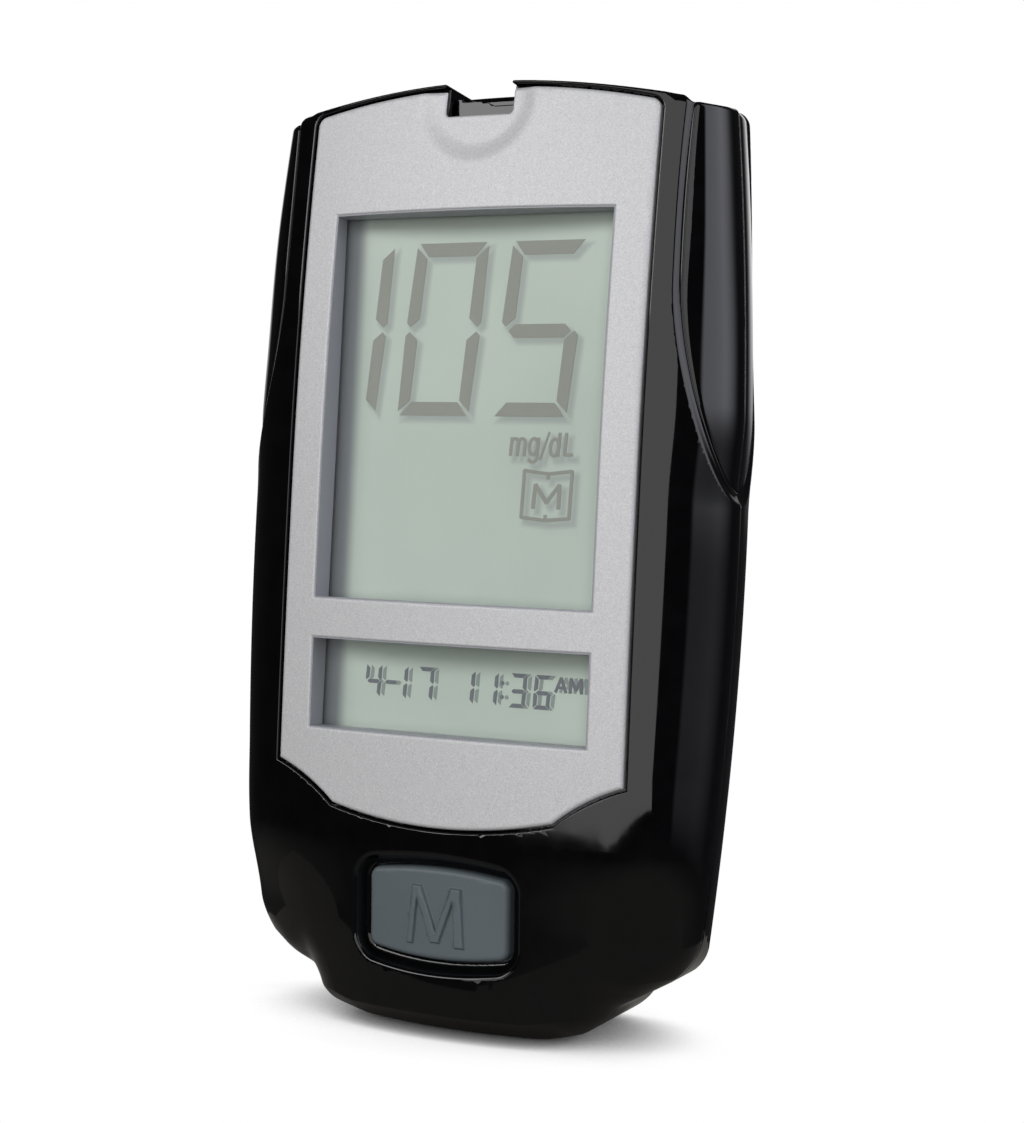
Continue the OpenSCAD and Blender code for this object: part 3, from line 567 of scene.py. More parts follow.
def door_panel(x, y, z):
    """Battery cover with its hinge, finger scoop and label pocket."""
    ax = np.abs(x)
    panel = block(x, y, z, (-DOOR_HALF, DOOR_Y, HINGE[1]), (DOOR_HALF, BACK_Y, DOOR_TOP), 0.18)
    barrel = both(from_hinge(y, z) - KNUCKLE_R, ax - DOOR_HALF, 0.15)
    panel = either(panel, barrel)
    drop, behind, radius = SCOOP
    from_pull = z - DOOR_TOP + drop
    scoop = both(np.hypot(y - BACK_Y - behind, from_pull) - radius, ax - 6.0, 0.3)
    panel = both(panel, -scoop, 0.2)
    floor_y = BACK_Y + behind - np.sqrt(np.maximum(radius**2 - from_pull**2, 1.0))
    across = np.abs((from_pull + 0.55) % 1.1 - 0.55)
    ridges = np.hypot(across, y - floor_y) - 0.2
    ridges = both(ridges, both(ax - 5.2, np.abs(from_pull) - 2.0))
    panel = either(panel, ridges, 0.1)
    label_z = slab(z, LABEL_LOW.z - 0.1, LABEL_HIGH.z + 0.1)
    pocket = both(both(ax - LABEL_HIGH.x - 0.1, LABEL_LOW.y - y), label_z)
    panel = both(panel, -pocket, 0.05)
    pin = both(from_hinge(y, z) - PIN_R, ax - DOOR_HALF - 1.0, 0.1)
    return either(panel, pin)


def port_block(x, y, z):
    """Strip port: a base with a nose that slopes to the right, and a slot with a lead-in."""
    low, ledge, high = PORT_Z
    base = block(x, y, z, (-BASE_HALF, PORT_Y, low), (BASE_HALF, BOARD_LOW.y, ledge), 0.15)
    nose = block(x, y, z, (-NOSE_HALF, PORT_Y, ledge - 1.0), (NOSE_HALF, PORT_Y + 3.8, high), 0.15)
    top = high - NOSE_STEP * np.clip((x + 1.0) / 1.9, 0.0, 1.0)
    solid = either(base, both(nose, (z - top) / 1.1, 0.08))
    slot = block(x, y, z, (-SLOT_HALF, SLOT_Y, low + 1.0), (SLOT_HALF, SLOT_Y + 1.0, 120.0))
    sides = np.maximum(np.abs(x) - SLOT_HALF, 0.0)
    flare = (np.abs(y - SLOT_Y - 0.5) - 0.5 - (z - ledge + LEAD_IN) * 0.8) / 1.28
    lead_in = both(both(sides, flare), ledge - LEAD_IN - z)
    return both(solid, -either(slot, lead_in), 0.08)


# -------- display

# Places of the figures in front view, and the offsets of their shadows
READING_X = (-18.8, -8.1, 2.62)
READING_Z = 71.4
DATE_X = (-10.8, -8.75, -7.8, -4.83, -0.23, 2.35, 5.45, 8.1)
DATE_Z = 35.1
FIGURE_T = 0.03
FIGURE_Y = LCD_LOW.y - FIGURE_T
CAST = (0.5, -0.5)
DATE_CAST = (0.52, 0.0)
FIGURE_STAGGER = 0.0015
# Grid step of the display's face
FACE_STEP = 0.16
# How dark the figures' shadows and the window's left edge are on the display
FIGURE_SHADE = 0.42
EDGE_SHADE = 0.9


def bar_shapes(width, half, thick):
    """The seven bars of a digit that starts at x = 0 and is centred on z = 0, by their usual letters."""
    tip, cut, gap = 0.3 * thick, 0.12 * thick, 0.17 * thick
    across = [
        (tip, half), (width - tip, half), (width - thick - cut, half - thick), (thick + cut, half - thick),
    ]
    upright = [
        (cut, half - tip), (thick, half - thick - cut), (thick, 0.62 * thick + gap),
        (tip, gap), (0, gap + tip),
    ]
    lift, near, far = -0.17 * thick, gap + 0.4 * thick, gap + 0.9 * thick
    up, down = lift + thick / 2, lift - thick / 2
    middle = [
        (near, lift), (far, up), (width - far, up), (width - near, lift), (width - far, down), (far, down),
    ]

    def mirror(shape):
        return [(width - u, v) for u, v in shape]

    def flip(shape):
        return [(u, -v) for u, v in shape]

    return {
        "a": across, "b": mirror(upright), "c": flip(mirror(upright)), "d": flip(across),
        "e": flip(upright), "f": upright, "g": middle,
    }


DIGIT_BARS = {
    "0": "abcdef", "1": "bc", "3": "abcdg", "4": "bcfg", "5": "acdfg", "6": "acdefg", "7": "abc",
    "-": "g",
}


def digit(figure, x, z, width, half, thick, slant):
    shapes = bar_shapes(width, half, thick)
    return [[(x + u + slant * v, z + v) for u, v in shapes[bar]] for bar in DIGIT_BARS[figure]]


def ribbon(path, half):
    """Outlines of the straight bars along a path, each lengthened a little at its joints."""
    shapes = []
    for start, end in zip(path, path[1:]):
        run = Vector(end) - Vector(start)
        along = run.normalized() * half * 0.35
        side = Vector((-run.y, run.x)).normalized() * half
        a, b = Vector(start) - along, Vector(end) + along
        shapes.append([tuple(p) for p in (a + side, b + side, b - side, a - side)])
    return shapes


def arc(cx, cz, rx, rz, start, end, steps=10):
    turns = [math.radians(start + (end - start) * i / steps) for i in range(steps + 1)]
    return [(cx + rx * math.cos(a), cz + rz * math.sin(a)) for a in turns]


def lean(shapes, z0, slant):
    return [[(x + slant * (z - z0), z) for x, z in shape] for shape in shapes]


def unit_legend():
    """The unit of the reading, in narrow letters."""
    low, mid, high, half = 58.62, 60.4, 60.92, 0.17
    shapes = ribbon([(4.3, low), (4.3, mid)], half)
    for x in (4.3, 5.05):
        shapes += ribbon(arc(x + 0.375, mid - 0.5, 0.375, 0.42, 180, 0, 8) + [(x + 0.75, low)], half)
    shapes += ribbon(arc(6.72, 59.55, 0.45, 0.82, 0, 360, 16), half)
    shapes += ribbon([(7.2, mid), (7.2, 58.5)] + arc(6.75, 58.5, 0.45, 0.5, 0, -150, 8), half)
    shapes += ribbon([(7.55, 58.25), (8.3, 61.0)], half * 0.7)
    shapes += ribbon(arc(9.0, 59.5, 0.45, 0.84, 0, 360, 16), half)
    shapes += ribbon([(9.45, high), (9.45, low)], half)
    shapes += ribbon([(10.15, high), (10.15, low + half), (11.0, low + half)], half)
    return lean(shapes, low, 0.06)


def memory_symbol():
    """An open book with a letter in it."""
    half = 0.18
    left, middle, right, low, top = 5.8, 8.4, 10.95, 52.45, 57.15
    page = [
        (left, low), (left, top), (middle, top - 0.3), (right, top), (right, low), (middle, low - 0.25),
        (left, low),
    ]
    shapes = ribbon(page, half)
    shapes += ribbon([(middle, top - 0.3), (middle, top - 0.8)], half)
    shapes += ribbon([(middle, low - 0.25), (middle, low + 0.25)], half)
    inner = [(7.0, 53.4), (7.1, 55.75), (8.4, 54.0), (9.7, 55.75), (9.75, 53.4)]
    shapes += ribbon(inner, half * 1.15)
    return lean(shapes, low, 0.03)


def big_figures():
    shapes = []
    for figure, x in zip("105", READING_X):
        shapes += digit(figure, x, READING_Z, 8.4, 8.85, 1.4, 0.082)
    return shapes + unit_legend() + memory_symbol()


def small_figures():
    """Date and time, with a letter pair that the edge of the window cuts off."""
    shapes = []
    for figure, x in zip("4-171136", DATE_X):
        shapes += digit(figure, x, DATE_Z, 1.85, 1.72, 0.42, 0.05)
    for z in (DATE_Z + 0.65, DATE_Z - 0.75):
        shapes.append(arc(4.68, z, 0.22, 0.22, 0, 360, 12)[:-1])
    low, high = DATE_Z + 0.15, DATE_Z + 1.55
    shapes += ribbon([(10.45, low), (11.0, high), (11.55, low)], 0.16)
    shapes += ribbon([(10.65, low + 0.45), (11.35, low + 0.45)], 0.14)
    shapes += ribbon([(12.0, low), (12.05, high), (12.6, low + 0.3), (13.15, high), (13.2, low)], 0.17)
    return shapes


def area_of(shape):
    """Twice the area of an outline, negative where it runs clockwise."""
    return sum(a[0] * b[1] - b[0] * a[1] for a, b in zip(shape, shape[1:] + shape[:1]))


def flat_shapes(name, shapes, front, back, shift=(0.0, 0.0)):
    """Closed prisms between two depths, one for each outline in front view. Their fronts lie at
    slightly different depths, because some of them overlap."""
    points, faces = [], []
    for k, shape in enumerate(shapes):
        ring = shape if area_of(shape) > 0 else shape[::-1]
        first, n = len(points), len(ring)
        for y in (front - FIGURE_STAGGER * (k % 12), back):
            points += [(x + shift[0], y, z + shift[1]) for x, z in ring]
        faces.append([first + i for i in range(n)])
        faces.append([first + n + i for i in reversed(range(n))])
        for i in range(n):
            j = (i + 1) % n
            faces.append([first + i, first + n + i, first + n + j, first + j])
    return mesh_piece(name, points, faces)


def distance_to(shape, x, z):
    """How far points lie outside a convex outline, or inside it as a negative number."""
    area = area_of(shape)
    worst = np.full(np.broadcast(x, z).shape, -9.0 if abs(area) > 1e-6 else 9.0)
    for a, b in zip(shape, shape[1:] + shape[:1]):
        run = (b[0] - a[0], b[1] - a[1])
        size = math.hypot(*run) or 1.0
        out = ((x - a[0]) * run[1] - (z - a[1]) * run[0]) / size
        worst = np.maximum(worst, out if area > 0 else -out)
    return worst


def display_panel(low, high):
    """The display's glass. Its face is a fine grid that carries the soft shadows of the figures and
    of the window's left edge, as an attribute from 0 to 1."""
    xs = np.linspace(low.x, high.x, round((high.x - low.x) / FACE_STEP) + 1)
    zs = np.linspace(low.z, high.z, round((high.z - low.z) / FACE_STEP) + 1)
    gx, gz = np.meshgrid(xs, zs, indexing="ij")
    shade = np.zeros(gx.shape)
    for shape in big_figures():
        away = distance_to(shape, gx - CAST[0], gz - CAST[1])
        shade = np.maximum(shade, FIGURE_SHADE * (1.0 - smooth((away + 0.2) / 0.7)))
    from_edge = gx + WINDOW_HALF
    shade = np.maximum(shade, EDGE_SHADE * (1.0 - smooth((from_edge - 0.9) / 1.6)))
    face = np.stack([gx, np.full(gx.shape, low.y), gz], -1).reshape(-1, 3)
    corners = (low.x, low.z), (high.x, low.z), (high.x, high.z), (low.x, high.z)
    back = [(x, high.y, z) for x, z in corners]
    index = np.arange(gx.size).reshape(gx.shape)
    quads = np.stack([index[:-1, :-1], index[1:, :-1], index[1:, 1:], index[:-1, 1:]], -1).reshape(-1, 4)
    b = gx.size + np.arange(4)
    rims = [
        [*index[::-1, 0], b[0], b[1]], [*index[-1, ::-1], b[1], b[2]],
        [*index[:, -1], b[2], b[3]], [*index[0, :], b[3], b[0]], b[::-1],
    ]
    faces = quads.tolist() + [[int(i) for i in rim] for rim in rims]
    piece = mesh_piece("display_panel", np.vstack([face, back]), faces)
    cast = piece.data.attributes.new("cast", "FLOAT", "POINT")
    cast.data.foreach_set("value", np.append(shade.reshape(-1), np.zeros(4)).astype(np.float32))
    return piece


# -------- materials

SILVER_TONES = ((0.57, 0.57, 0.585), (0.73, 0.73, 0.74))
LCD_TONES = ((0.595, 0.68, 0.61), (0.65, 0.73, 0.66))
LCD_CAST = (0.24, 0.25, 0.275)
CLEAR_TINT = (0.995, 1, 0.997)
MIRROR_AHEAD = 0.035
SLEEVE_TONES = ((0.018, 0.1, 0.085), (0.024, 0.125, 0.1))
RING_GREY = (0.6, 0.6, 0.58)
END_GREY = (0.55, 0.55, 0.54)


class Nodes:
    """Short ways to add nodes to a tree."""

    def __init__(self, tree):
        self.tree = tree

    def add(self, kind, inputs=None, **settings):
        """Adds a node and returns its outputs. Each input gets a value, or a link from a socket."""
        node = self.tree.nodes.new("ShaderNode" + kind)
        for name, value in settings.items():
            setattr(node, name, value)
        for key, value in (inputs or {}).items():
            self.feed(node.inputs[key], value)
        return node.outputs

    def feed(self, socket, value):
        if isinstance(value, bpy.types.NodeSocket):
            self.tree.links.new(value, socket)
        elif socket.type == "RGBA":
            socket.default_value = (*value, 1)
        else:
            socket.default_value = value

    def math(self, operation, *terms):
        return self.add("Math", dict(enumerate(terms)), operation=operation)[0]

    def span(self, value, low, high, start=0.3, end=0.7, kind="LINEAR"):
        """Maps a value from start..end to low..high."""
        inputs = {0: value, 1: start, 2: end, 3: low, 4: high}
        return self.add("MapRange", inputs, interpolation_type=kind)[0]

    def tint(self, factor, first, second):
        """A colour between two colours."""
        return self.add("Mix", {0: factor, 6: first, 7: second}, data_type="RGBA")[2]


class Shader(Nodes):
    """A node material with one Principled shader."""

    def __init__(self, name, roughness, metallic=0.0):
        self.mat = bpy.data.materials.new(name)
        self.mat.use_nodes = True
        super().__init__(self.mat.node_tree)
        self.tree.nodes.clear()
        self.out = self.tree.nodes.new("ShaderNodeOutputMaterial").inputs[0]
        self.main = self.tree.nodes.new("ShaderNodeBsdfPrincipled")
        self.feed(self.out, self.main.outputs[0])
        self.set("Roughness", roughness)
        self.set("Metallic", metallic)
        self.place = self.add("TexCoord")["Object"]

    def set(self, name, value):
        self.feed(self.main.inputs[name], value)

    def noise(self, size_mm, detail=2.0):
        """Noise whose grains are about this large, from 0 to 1."""
        inputs = {"Scale": 1.0 / (size_mm * MM), "Detail": detail, "Vector": self.place}
        return self.add("TexNoise", inputs)[0]

    def bump(self, height, depth_mm):
        self.set("Normal", self.add("Bump", {"Distance": depth_mm * MM, "Height": height})[0])

    def uneven(self, size_mm, spread, depth_mm=0.0, colours=None):
        """The usual slight unevenness: in the gloss, in the colour and in the surface."""
        grain = self.noise(size_mm)
        middle = self.main.inputs["Roughness"].default_value
        self.set("Roughness", self.span(grain, middle - spread, middle + spread))
        if colours:
            self.set("Base Color", self.tint(self.span(grain, 0, 1), *colours))
        if depth_mm:
            self.bump(grain, depth_mm)
        return self.mat


def plain(name, colour, roughness, grain_mm=0.4, metallic=0.0, depth_mm=0.002, tone=0.12, gloss=0.15):
    """A one-colour finish whose colour and gloss vary a little, by shares of themselves."""
    look = Shader(name, roughness, metallic)
    tones = [tuple(c * k for c in colour) for k in (1 - tone, 1 + tone)]
    return look.uneven(grain_mm, gloss * roughness, depth_mm, tones)


def black_gloss():
    """Polished black plastic, slightly wavy."""
    look = Shader("black_gloss", 0.05)
    look.set("IOR", 1.42)
    return look.uneven(2.2, 0.012, 0.0004, ((0.0015, 0.0015, 0.0018), (0.0025, 0.0025, 0.0029)))


def silver_paint():
    """Fine metallic flakes in a satin lacquer."""
    look = Shader("silver_paint", 0.56, 0.25)
    flakes = look.span(look.noise(0.13, 1.0), 0, 1, 0.35, 0.68)
    cloud = look.span(look.noise(0.35, 1.0), 0, 1, 0.3, 0.7)
    grains = look.math("MULTIPLY_ADD", cloud, 0.3, flakes)
    look.set("Base Color", look.tint(look.span(grains, 0, 1, 0, 1.3), *SILVER_TONES))
    look.bump(flakes, 0.002)
    return look.mat


def display_green():
    """Reflective display: pale grey-green, darker where shadows fall on it."""
    look = Shader("display_green", 0.5)
    tone = look.tint(look.span(look.noise(14.0, 1.0), 0, 1), *LCD_TONES)
    cast = look.add("Attribute", attribute_name="cast")["Fac"]
    look.set("Base Color", look.tint(cast, tone, LCD_CAST))
    return look.uneven(0.2, 0.04)


def clear_lens():
    """Clear pane: see-through, with a mirror layer that grows towards grazing angles."""
    look = Shader("clear_lens", 0.03)
    clear = look.add("BsdfTransparent", {0: CLEAR_TINT})[0]
    mirror = look.add("BsdfAnisotropic", {"Roughness": look.span(look.noise(3.0), 0.02, 0.035)})[0]
    facing = look.add("LayerWeight")["Facing"]
    grazing = look.span(look.math("POWER", facing, 5.0), MIRROR_AHEAD, 1.0, 0.0, 1.0)
    look.feed(look.out, look.add("MixShader", {0: grazing, 1: clear, 2: mirror})[0])
    return look.mat


def board_green():
    """Solder mask over faint copper tracks."""
    look = Shader("board_green", 0.35)
    axes = look.add("SeparateXYZ", {0: look.place})
    inputs = {
        "Vector": look.add("CombineXYZ", {"X": axes["X"], "Y": axes["Z"]})[0],
        "Scale": 420.0,
        "Mortar Size": 0.06,
        "Color1": (0.008, 0.085, 0.032),
        "Color2": (0.012, 0.11, 0.04),
        "Mortar": (0.03, 0.2, 0.07),
    }
    look.set("Base Color", look.add("TexBrick", inputs)["Color"])
    return look.uneven(0.5, 0.05)


def cell_sleeve():
    """Printed sleeve with two plain rings, and bare metal at both ends."""
    look = Shader("cell_sleeve", 0.3, 0.5)
    along = look.add("SeparateXYZ", {0: look.place})["Z"]
    shade = look.tint(look.span(look.noise(0.6), 0, 1), *SLEEVE_TONES)
    low, high = CELL_LOW.z, CELL_HIGH.z
    rings = ((low + 12, low + 12.6), (high - 13, high - 12.4))
    ends = ((low - 1, low + 0.9), (high - 1.6, high + 1))
    for (start, end), colour in zip(rings + ends, (RING_GREY, RING_GREY, END_GREY, END_GREY)):
        middle, half = (start + end) / 2 * MM, (end - start) / 2 * MM
        inside = look.math("COMPARE", along, middle, half)
        shade = look.tint(inside, shade, colour)
    look.set("Base Color", shade)
    return look.uneven(0.5, 0.05)


# -------- liner, beads, cells and leads


def window_liner():
    """Grey frames that line both windows from just under the faceplate's face to the lens. Their dark
    grey-blue is painted shade: it stands in for the shade on the windows' walls.
    """
    points, faces = [], []
    along = np.arange(24) / 24
    zero, one = 0 * along, 1 + 0 * along
    us = np.concatenate([along, one, 1 - along, zero])
    vs = np.concatenate([zero, along, one, 1 - along])
    n = len(us)
    for low, high in (MAIN_WINDOW, SMALL_WINDOW):
        first = len(points)
        for grow, deep in ((0.0, False), (LINER_W, False), (LINER_W, True), (0.0, True)):
            x = (2 * us - 1) * (WINDOW_HALF + grow)
            z = low - grow + vs * (high - low + 2 * grow)
            y = 0 * x + LENS_LOW.y - 0.03 if deep else front_depth(x, z) + LINER_IN
            points += np.stack([x, y, z], 1).tolist()
        for k, i in itertools.product(range(4), range(n)):
            a, b, j = first + k * n, first + (k + 1) % 4 * n, (i + 1) % n
            faces.append([a + i, b + i, b + j, a + j])
    return mesh_piece("window_liner", points, faces)


def sunk_case(p):
    """The outer surface of both shells at one point, and the distance into the grip there."""
    x, y, z = (np.array([c]) for c in p)
    form, reach = (front_form, GRIP_REACH[0]) if p[1] < SPLIT_Y else (rear_form, GRIP_REACH[1])
    sunk = sink_grip(form(x, y, z), x, y, z, reach)
    return np.array([sunk[0], grip(x, y, z, reach)[0] - BEAD_IN])


def bead_path():
    """Runs down the grip's edge from the top at the front, round its tip, and up again behind."""
    p = np.array(BEAD_START)
    path, way = [], np.array([0.0, 0.0, -1.0])
    while len(path) < 400:
        for _ in range(12):
            value = sunk_case(p)
            steps = np.eye(3) * 0.01
            slope = np.stack([(sunk_case(p + e) - sunk_case(p - e)) / 0.02 for e in steps], 1)
            move = np.linalg.pinv(slope) @ value
            p = p - move * min(1.0, 0.4 / max(np.linalg.norm(move), 1e-9))
        tangent = np.cross(slope[0], slope[1])
        tangent /= np.linalg.norm(tangent)
        if tangent @ way < 0:
            tangent = -tangent
        if path and p[2] > BEAD_TOP_Z:
            break
        path.append((p, tangent, slope[0] / np.linalg.norm(slope[0])))
        way = tangent
        p = p + tangent * BEAD_STEP
    return path


def bead(name, path, side, sides=12):
    """Round cord along the path, half sunk, on the right (side 1) or mirrored to the left (-1)."""
    points, faces = [], []
    for centre, tangent, normal in path:
        across = np.cross(tangent, normal)
        for i in range(sides):
            a = 2 * math.pi * i / sides
            q = centre + BEAD_R * (math.cos(a) * normal + math.sin(a) * across) - BEAD_SINK * normal
            points.append((side * q[0], q[1], q[2]))
    for k in range(len(path) - 1):
        for i in range(sides):
            a, b = k * sides + i, k * sides + (i + 1) % sides
            faces.append([a, a + sides, b + sides, b][::side])
    last = (len(path) - 1) * sides
    rim = list(range(sides))[::side]
    faces += [rim, [last + i for i in reversed(rim)]]
    return mesh_piece(name, points, faces, soft=True)


def lathe(name, profile, cx, cy, sides=72):
    """Closed turned solid about an upright axis, from a profile of radii and heights."""
    points = [(cx, cy, profile[0][1]), (cx, cy, profile[-1][1])]
    ring = profile[1:-1]
    for i in range(sides):
        a = 2 * math.pi * i / sides
        points += [(cx + r * math.cos(a), cy + r * math.sin(a), z) for r, z in ring]
    n = len(ring)
    faces = []
    for i in range(sides):
        a, b = 2 + i * n, 2 + (i + 1) % sides * n
        faces.append([0, b, a])
        faces.append([1, a + n - 1, b + n - 1])
        faces += [[a + k, b + k, b + k + 1, a + k + 1] for k in range(n - 1)]
    piece = mesh_piece(name, points, faces, soft=True)
    piece.data.set_sharp_from_angle(angle=math.radians(35))
    return piece


def round_step(r0, z0, r1, z1, steps=5):
    """Quarter round from one point of a profile to the next."""
    turns = [math.pi / 2 * i / steps for i in range(steps + 1)]
    return [(r0 + (r1 - r0) * math.sin(a), z0 + (z1 - z0) * (1 - math.cos(a))) for a in turns]


def cell(name, node, upright):
    """AAA cell with a crimped sleeve, a nub at one end and a shallow dish at the other."""
    low, high = box_mm(node)
    r = (high.x - low.x) / 2
    length = high.z - low.z
    profile = [(0, 0.15), (2.9, 0.15), (3.1, 0.0), (4.3, 0.0), (4.4, 0.12)]
    profile += round_step(4.4, 0.12, r, 0.7)
    top = [(r, 2.0), (r - 0.1, 1.75), (r - 0.55, 1.4), (4.1, 1.3), (4.0, 1.45), (2.5, 1.45)]
    top += [(2.3, 1.3), (1.95, 1.2), (1.9, 0.3), (1.7, 0.0), (0, 0.0)]
    profile += [(radius, length - drop) for radius, drop in top]
    if upright:
        profile = [(radius, low.z + up) for radius, up in profile]
    else:
        profile = [(radius, high.z - up) for radius, up in reversed(profile)]
    return lathe(name, profile, (low.x + high.x) / 2, (low.y + high.y) / 2)


# A lead is three bars: out of the chip, down, and along the board. Each bar has its start and end
# outside the chip's edge, and its height above the board from and to.
LEAD_BARS = ((-0.05, 0.3, 0.4, 0.55), (0.15, 0.3, 0.0, 0.5), (0.2, 0.55, 0.0, 0.12))
LEAD_PITCH = 0.65
LEAD_HALF = 0.15
BOX_FACES = ((0, 1, 3, 2), (4, 6, 7, 5), (0, 4, 5, 1), (2, 3, 7, 6), (0, 2, 6, 4), (1, 5, 7, 3))


def chip_legs():
    """Bent leads along the four sides of the processor."""
    low, high = box_mm("microcontroller")
    centre, half = (low + high) / 2, (high.x - low.x) / 2
    points, faces = [], []
    for turn, lead, bar in itertools.product(range(4), range(-5, 6), LEAD_BARS):
        c, s = round(math.cos(turn * math.pi / 2)), round(math.sin(turn * math.pi / 2))
        faces += [[len(points) + k for k in face] for face in BOX_FACES]
        for across, up, out in itertools.product((-LEAD_HALF, LEAD_HALF), bar[2:], bar[:2]):
            x, z = LEAD_PITCH * lead + across, half + out
            points.append((centre.x + x * c + z * s, low.y + up, centre.z - x * s + z * c))
    return mesh_piece("chip_legs", points, faces)


# -------- pieces


def dress(piece, look, body, slot, *nodes):
    """The piece gets a look, rides on a body and replaces CAD nodes, which it hides. The slot is not used.
    """
    piece.data.materials.append(look)
    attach(piece, body)
    if nodes:
        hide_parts(*nodes)


FRONT_BOX = ((-BODY_W / 2, CREST_Y, 0.0), (BODY_W / 2, SPLIT_Y, BODY_H))
REAR_BOX = ((-BODY_W / 2, SPLIT_Y, 0.0), CASE_HIGH)
PLATE_BOX = ((-19.0, CREST_Y, 21.0), (19.0, -8.4, 95.5))
CAP_BOX, DOOR_BOX, PORT_BOX = (FLANGE_LOW, FLANGE_HIGH), (DOOR_LOW, DOOR_HIGH), (PORT_LOW, PORT_HIGH)

# Each skin has a name, a field, a box, a grid step and an adaptivity, and then how it is dressed
black = black_gloss()
silver = silver_paint()
cap_grey = plain("button_grey", (0.108, 0.132, 0.145), 0.5, 0.12, depth_mm=0.004, tone=0.055, gloss=0.12)
for name, field, box, step, adapt, *clothes in (
    ("front_shell", front_shell, FRONT_BOX, 0.12, 0.003, black, "meter", "black_gloss", "front_case"),
    ("rear_shell", rear_shell, REAR_BOX, 0.16, 0.01, black, "meter", "black_gloss", "rear_case"),
    ("bezel", faceplate_shell, PLATE_BOX, 0.11, 0.004, silver, "meter", "silver_paint", "faceplate"),
    ("button_cap", button_cap, CAP_BOX, 0.09, 0.01, cap_grey, "push_button", "button_grey", "main_button"),
    ("cover", door_panel, DOOR_BOX, 0.2, 0.01, black, "battery_cover", "black_gloss", "battery_door"),
    ("port", port_block, PORT_BOX, 0.15, 0.01, black, "meter", "dark_plastic", "strip_port"),
):
    dress(skin(name, field, *box, step, adapt), *clothes)

edge_path = bead_path()
for name, side in (("grip_bead_right", 1), ("grip_bead_left", -1)):
    dress(bead(name, edge_path, side), black, "meter", "black_gloss")

# The liner's dark grey-blue is painted shade on the windows' walls.
liner_painted_shade = plain("liner_painted_shade", (0.34, 0.35, 0.385), 0.45, tone=0.028, gloss=0.11)
dress(window_liner(), liner_painted_shade, "meter", "dark_plastic")
dress(display_panel(LCD_LOW, LCD_HIGH), display_green(), "meter", "display", "lcd_glass")
big, small = big_figures(), small_figures()
for name, shapes, y, shift, grey, colour, tone in (
    ("figures", big, FIGURE_Y, (0, 0), "figure_grey", (0.37, 0.38, 0.34), 0.027),
    ("date_and_time", small, FIGURE_Y - 0.01, (0, 0), "date_grey", (0.2, 0.215, 0.24), 0.046),
    ("date_shadow", small, LCD_LOW.y - 0.012, DATE_CAST, "date_cast_grey", (0.33, 0.38, 0.36), 0.028),
):
    look = plain(grey, colour, 0.6, 0.3, depth_mm=0.0, tone=tone, gloss=0.05)
    dress(flat_shapes(name, shapes, y, LCD_LOW.y, shift), look, "meter", "display")

sleeve = cell_sleeve()
dress(cell("cell_left", "battery_1", True), sleeve, "meter", "cell", "battery_1")
dress(cell("cell_right", "battery_2", False), sleeve, "meter", "cell", "battery_2")
METAL = {"metallic": 1.0, "depth_mm": 0.001, "tone": 0.05}
steel = plain("nickel", (0.62, 0.61, 0.58), 0.28, 0.3, **METAL)
dress(chip_legs(), steel, "meter", "bright_steel")

# Looks of the CAD's own pieces that stay in view
ZINC = {"metallic": 1.0, "tone": 0.08}
dark = plain("dark_plastic", (0.0125, 0.0125, 0.0135), 0.32, 0.3, depth_mm=0.004, tone=0.2, gloss=0.19)
foil = plain(
    "label_foil", (0.585, 0.595, 0.605), 0.5, 0.25, metallic=0.3, depth_mm=0.001, tone=0.06, gloss=0.16
)
for look, *nodes in (
    (clear_lens(), "display_lens"),
    (dark, "lcd_frame"),
    (plain("grey_rubber", (0.2, 0.2, 0.205), 0.7, 0.3), "upper_connector", "lower_connector"),
    (board_green(), "circuit_board"),
    (plain("chip_black", (0.02, 0.02, 0.022), 0.55, 0.15), "microcontroller", "buzzer", "set_switch"),
    (steel, "crystal", "bridge_contact", "positive_contact", "negative_contact"),
    (plain("ceramic", (0.36, 0.26, 0.16), 0.45, 0.5), "board_components"),
    (plain("gold_flash", (0.75, 0.53, 0.2), 0.25, 0.3, **METAL), "strip_contacts"),
    (plain("silicone", (0.5, 0.5, 0.48), 0.6, 0.5), "button_dome"),
    (plain("white_plastic", (0.7, 0.7, 0.68), 0.4), "set_button"),
    (plain("zinc", (0.42, 0.42, 0.44), 0.35, 0.25, **ZINC), "case_screws"),
    (plain("zinc_small", (0.42, 0.42, 0.44), 0.35, 0.2, **ZINC), "board_screws"),
    (foil, "rating_label"),
):
    for node in nodes:
        for slot in bpy.data.objects[node].material_slots:
            slot.material = look


# -------- studio

CAMERA_MM = (81.134, -182.38, 45.65)
CAMERA_AXES = (
    (0.91595742, 0.3982503, 0.04918032),
    (-0.04022106, -0.03082572, 0.9987152),
    (0.39925465, -0.91675868, -0.012217),
)
FOCAL_PX = 1900.0
FRAME_PX = (1024.0, 1123.0)

optics = bpy.data.cameras.new("camera")
optics.sensor_width = 36.0
optics.lens = FOCAL_PX / max(FRAME_PX) * optics.sensor_width
optics.clip_start = 0.01
optics.clip_end = 10.0
camera = bpy.data.objects.new("camera", optics)
turn = Matrix(CAMERA_AXES).transposed()
camera.matrix_world = Matrix.Translation(Vector(CAMERA_MM) * MM) @ turn.to_4x4()
scene.collection.objects.link(camera)
scene.camera = camera

scene.view_settings.view_transform = "Standard"

# The floor patch and its shadow, in millimetres
FLOOR = (-45.0, 45.0, -28.0, 50.0)
FLOOR_MIDDLE = (0.0, 4.0, 0.0)
FLOOR_NEAR = 22.0
FLOOR_FADE = (22.0, 36.0)
FLOOR_DARK = (0.04, 0.6)

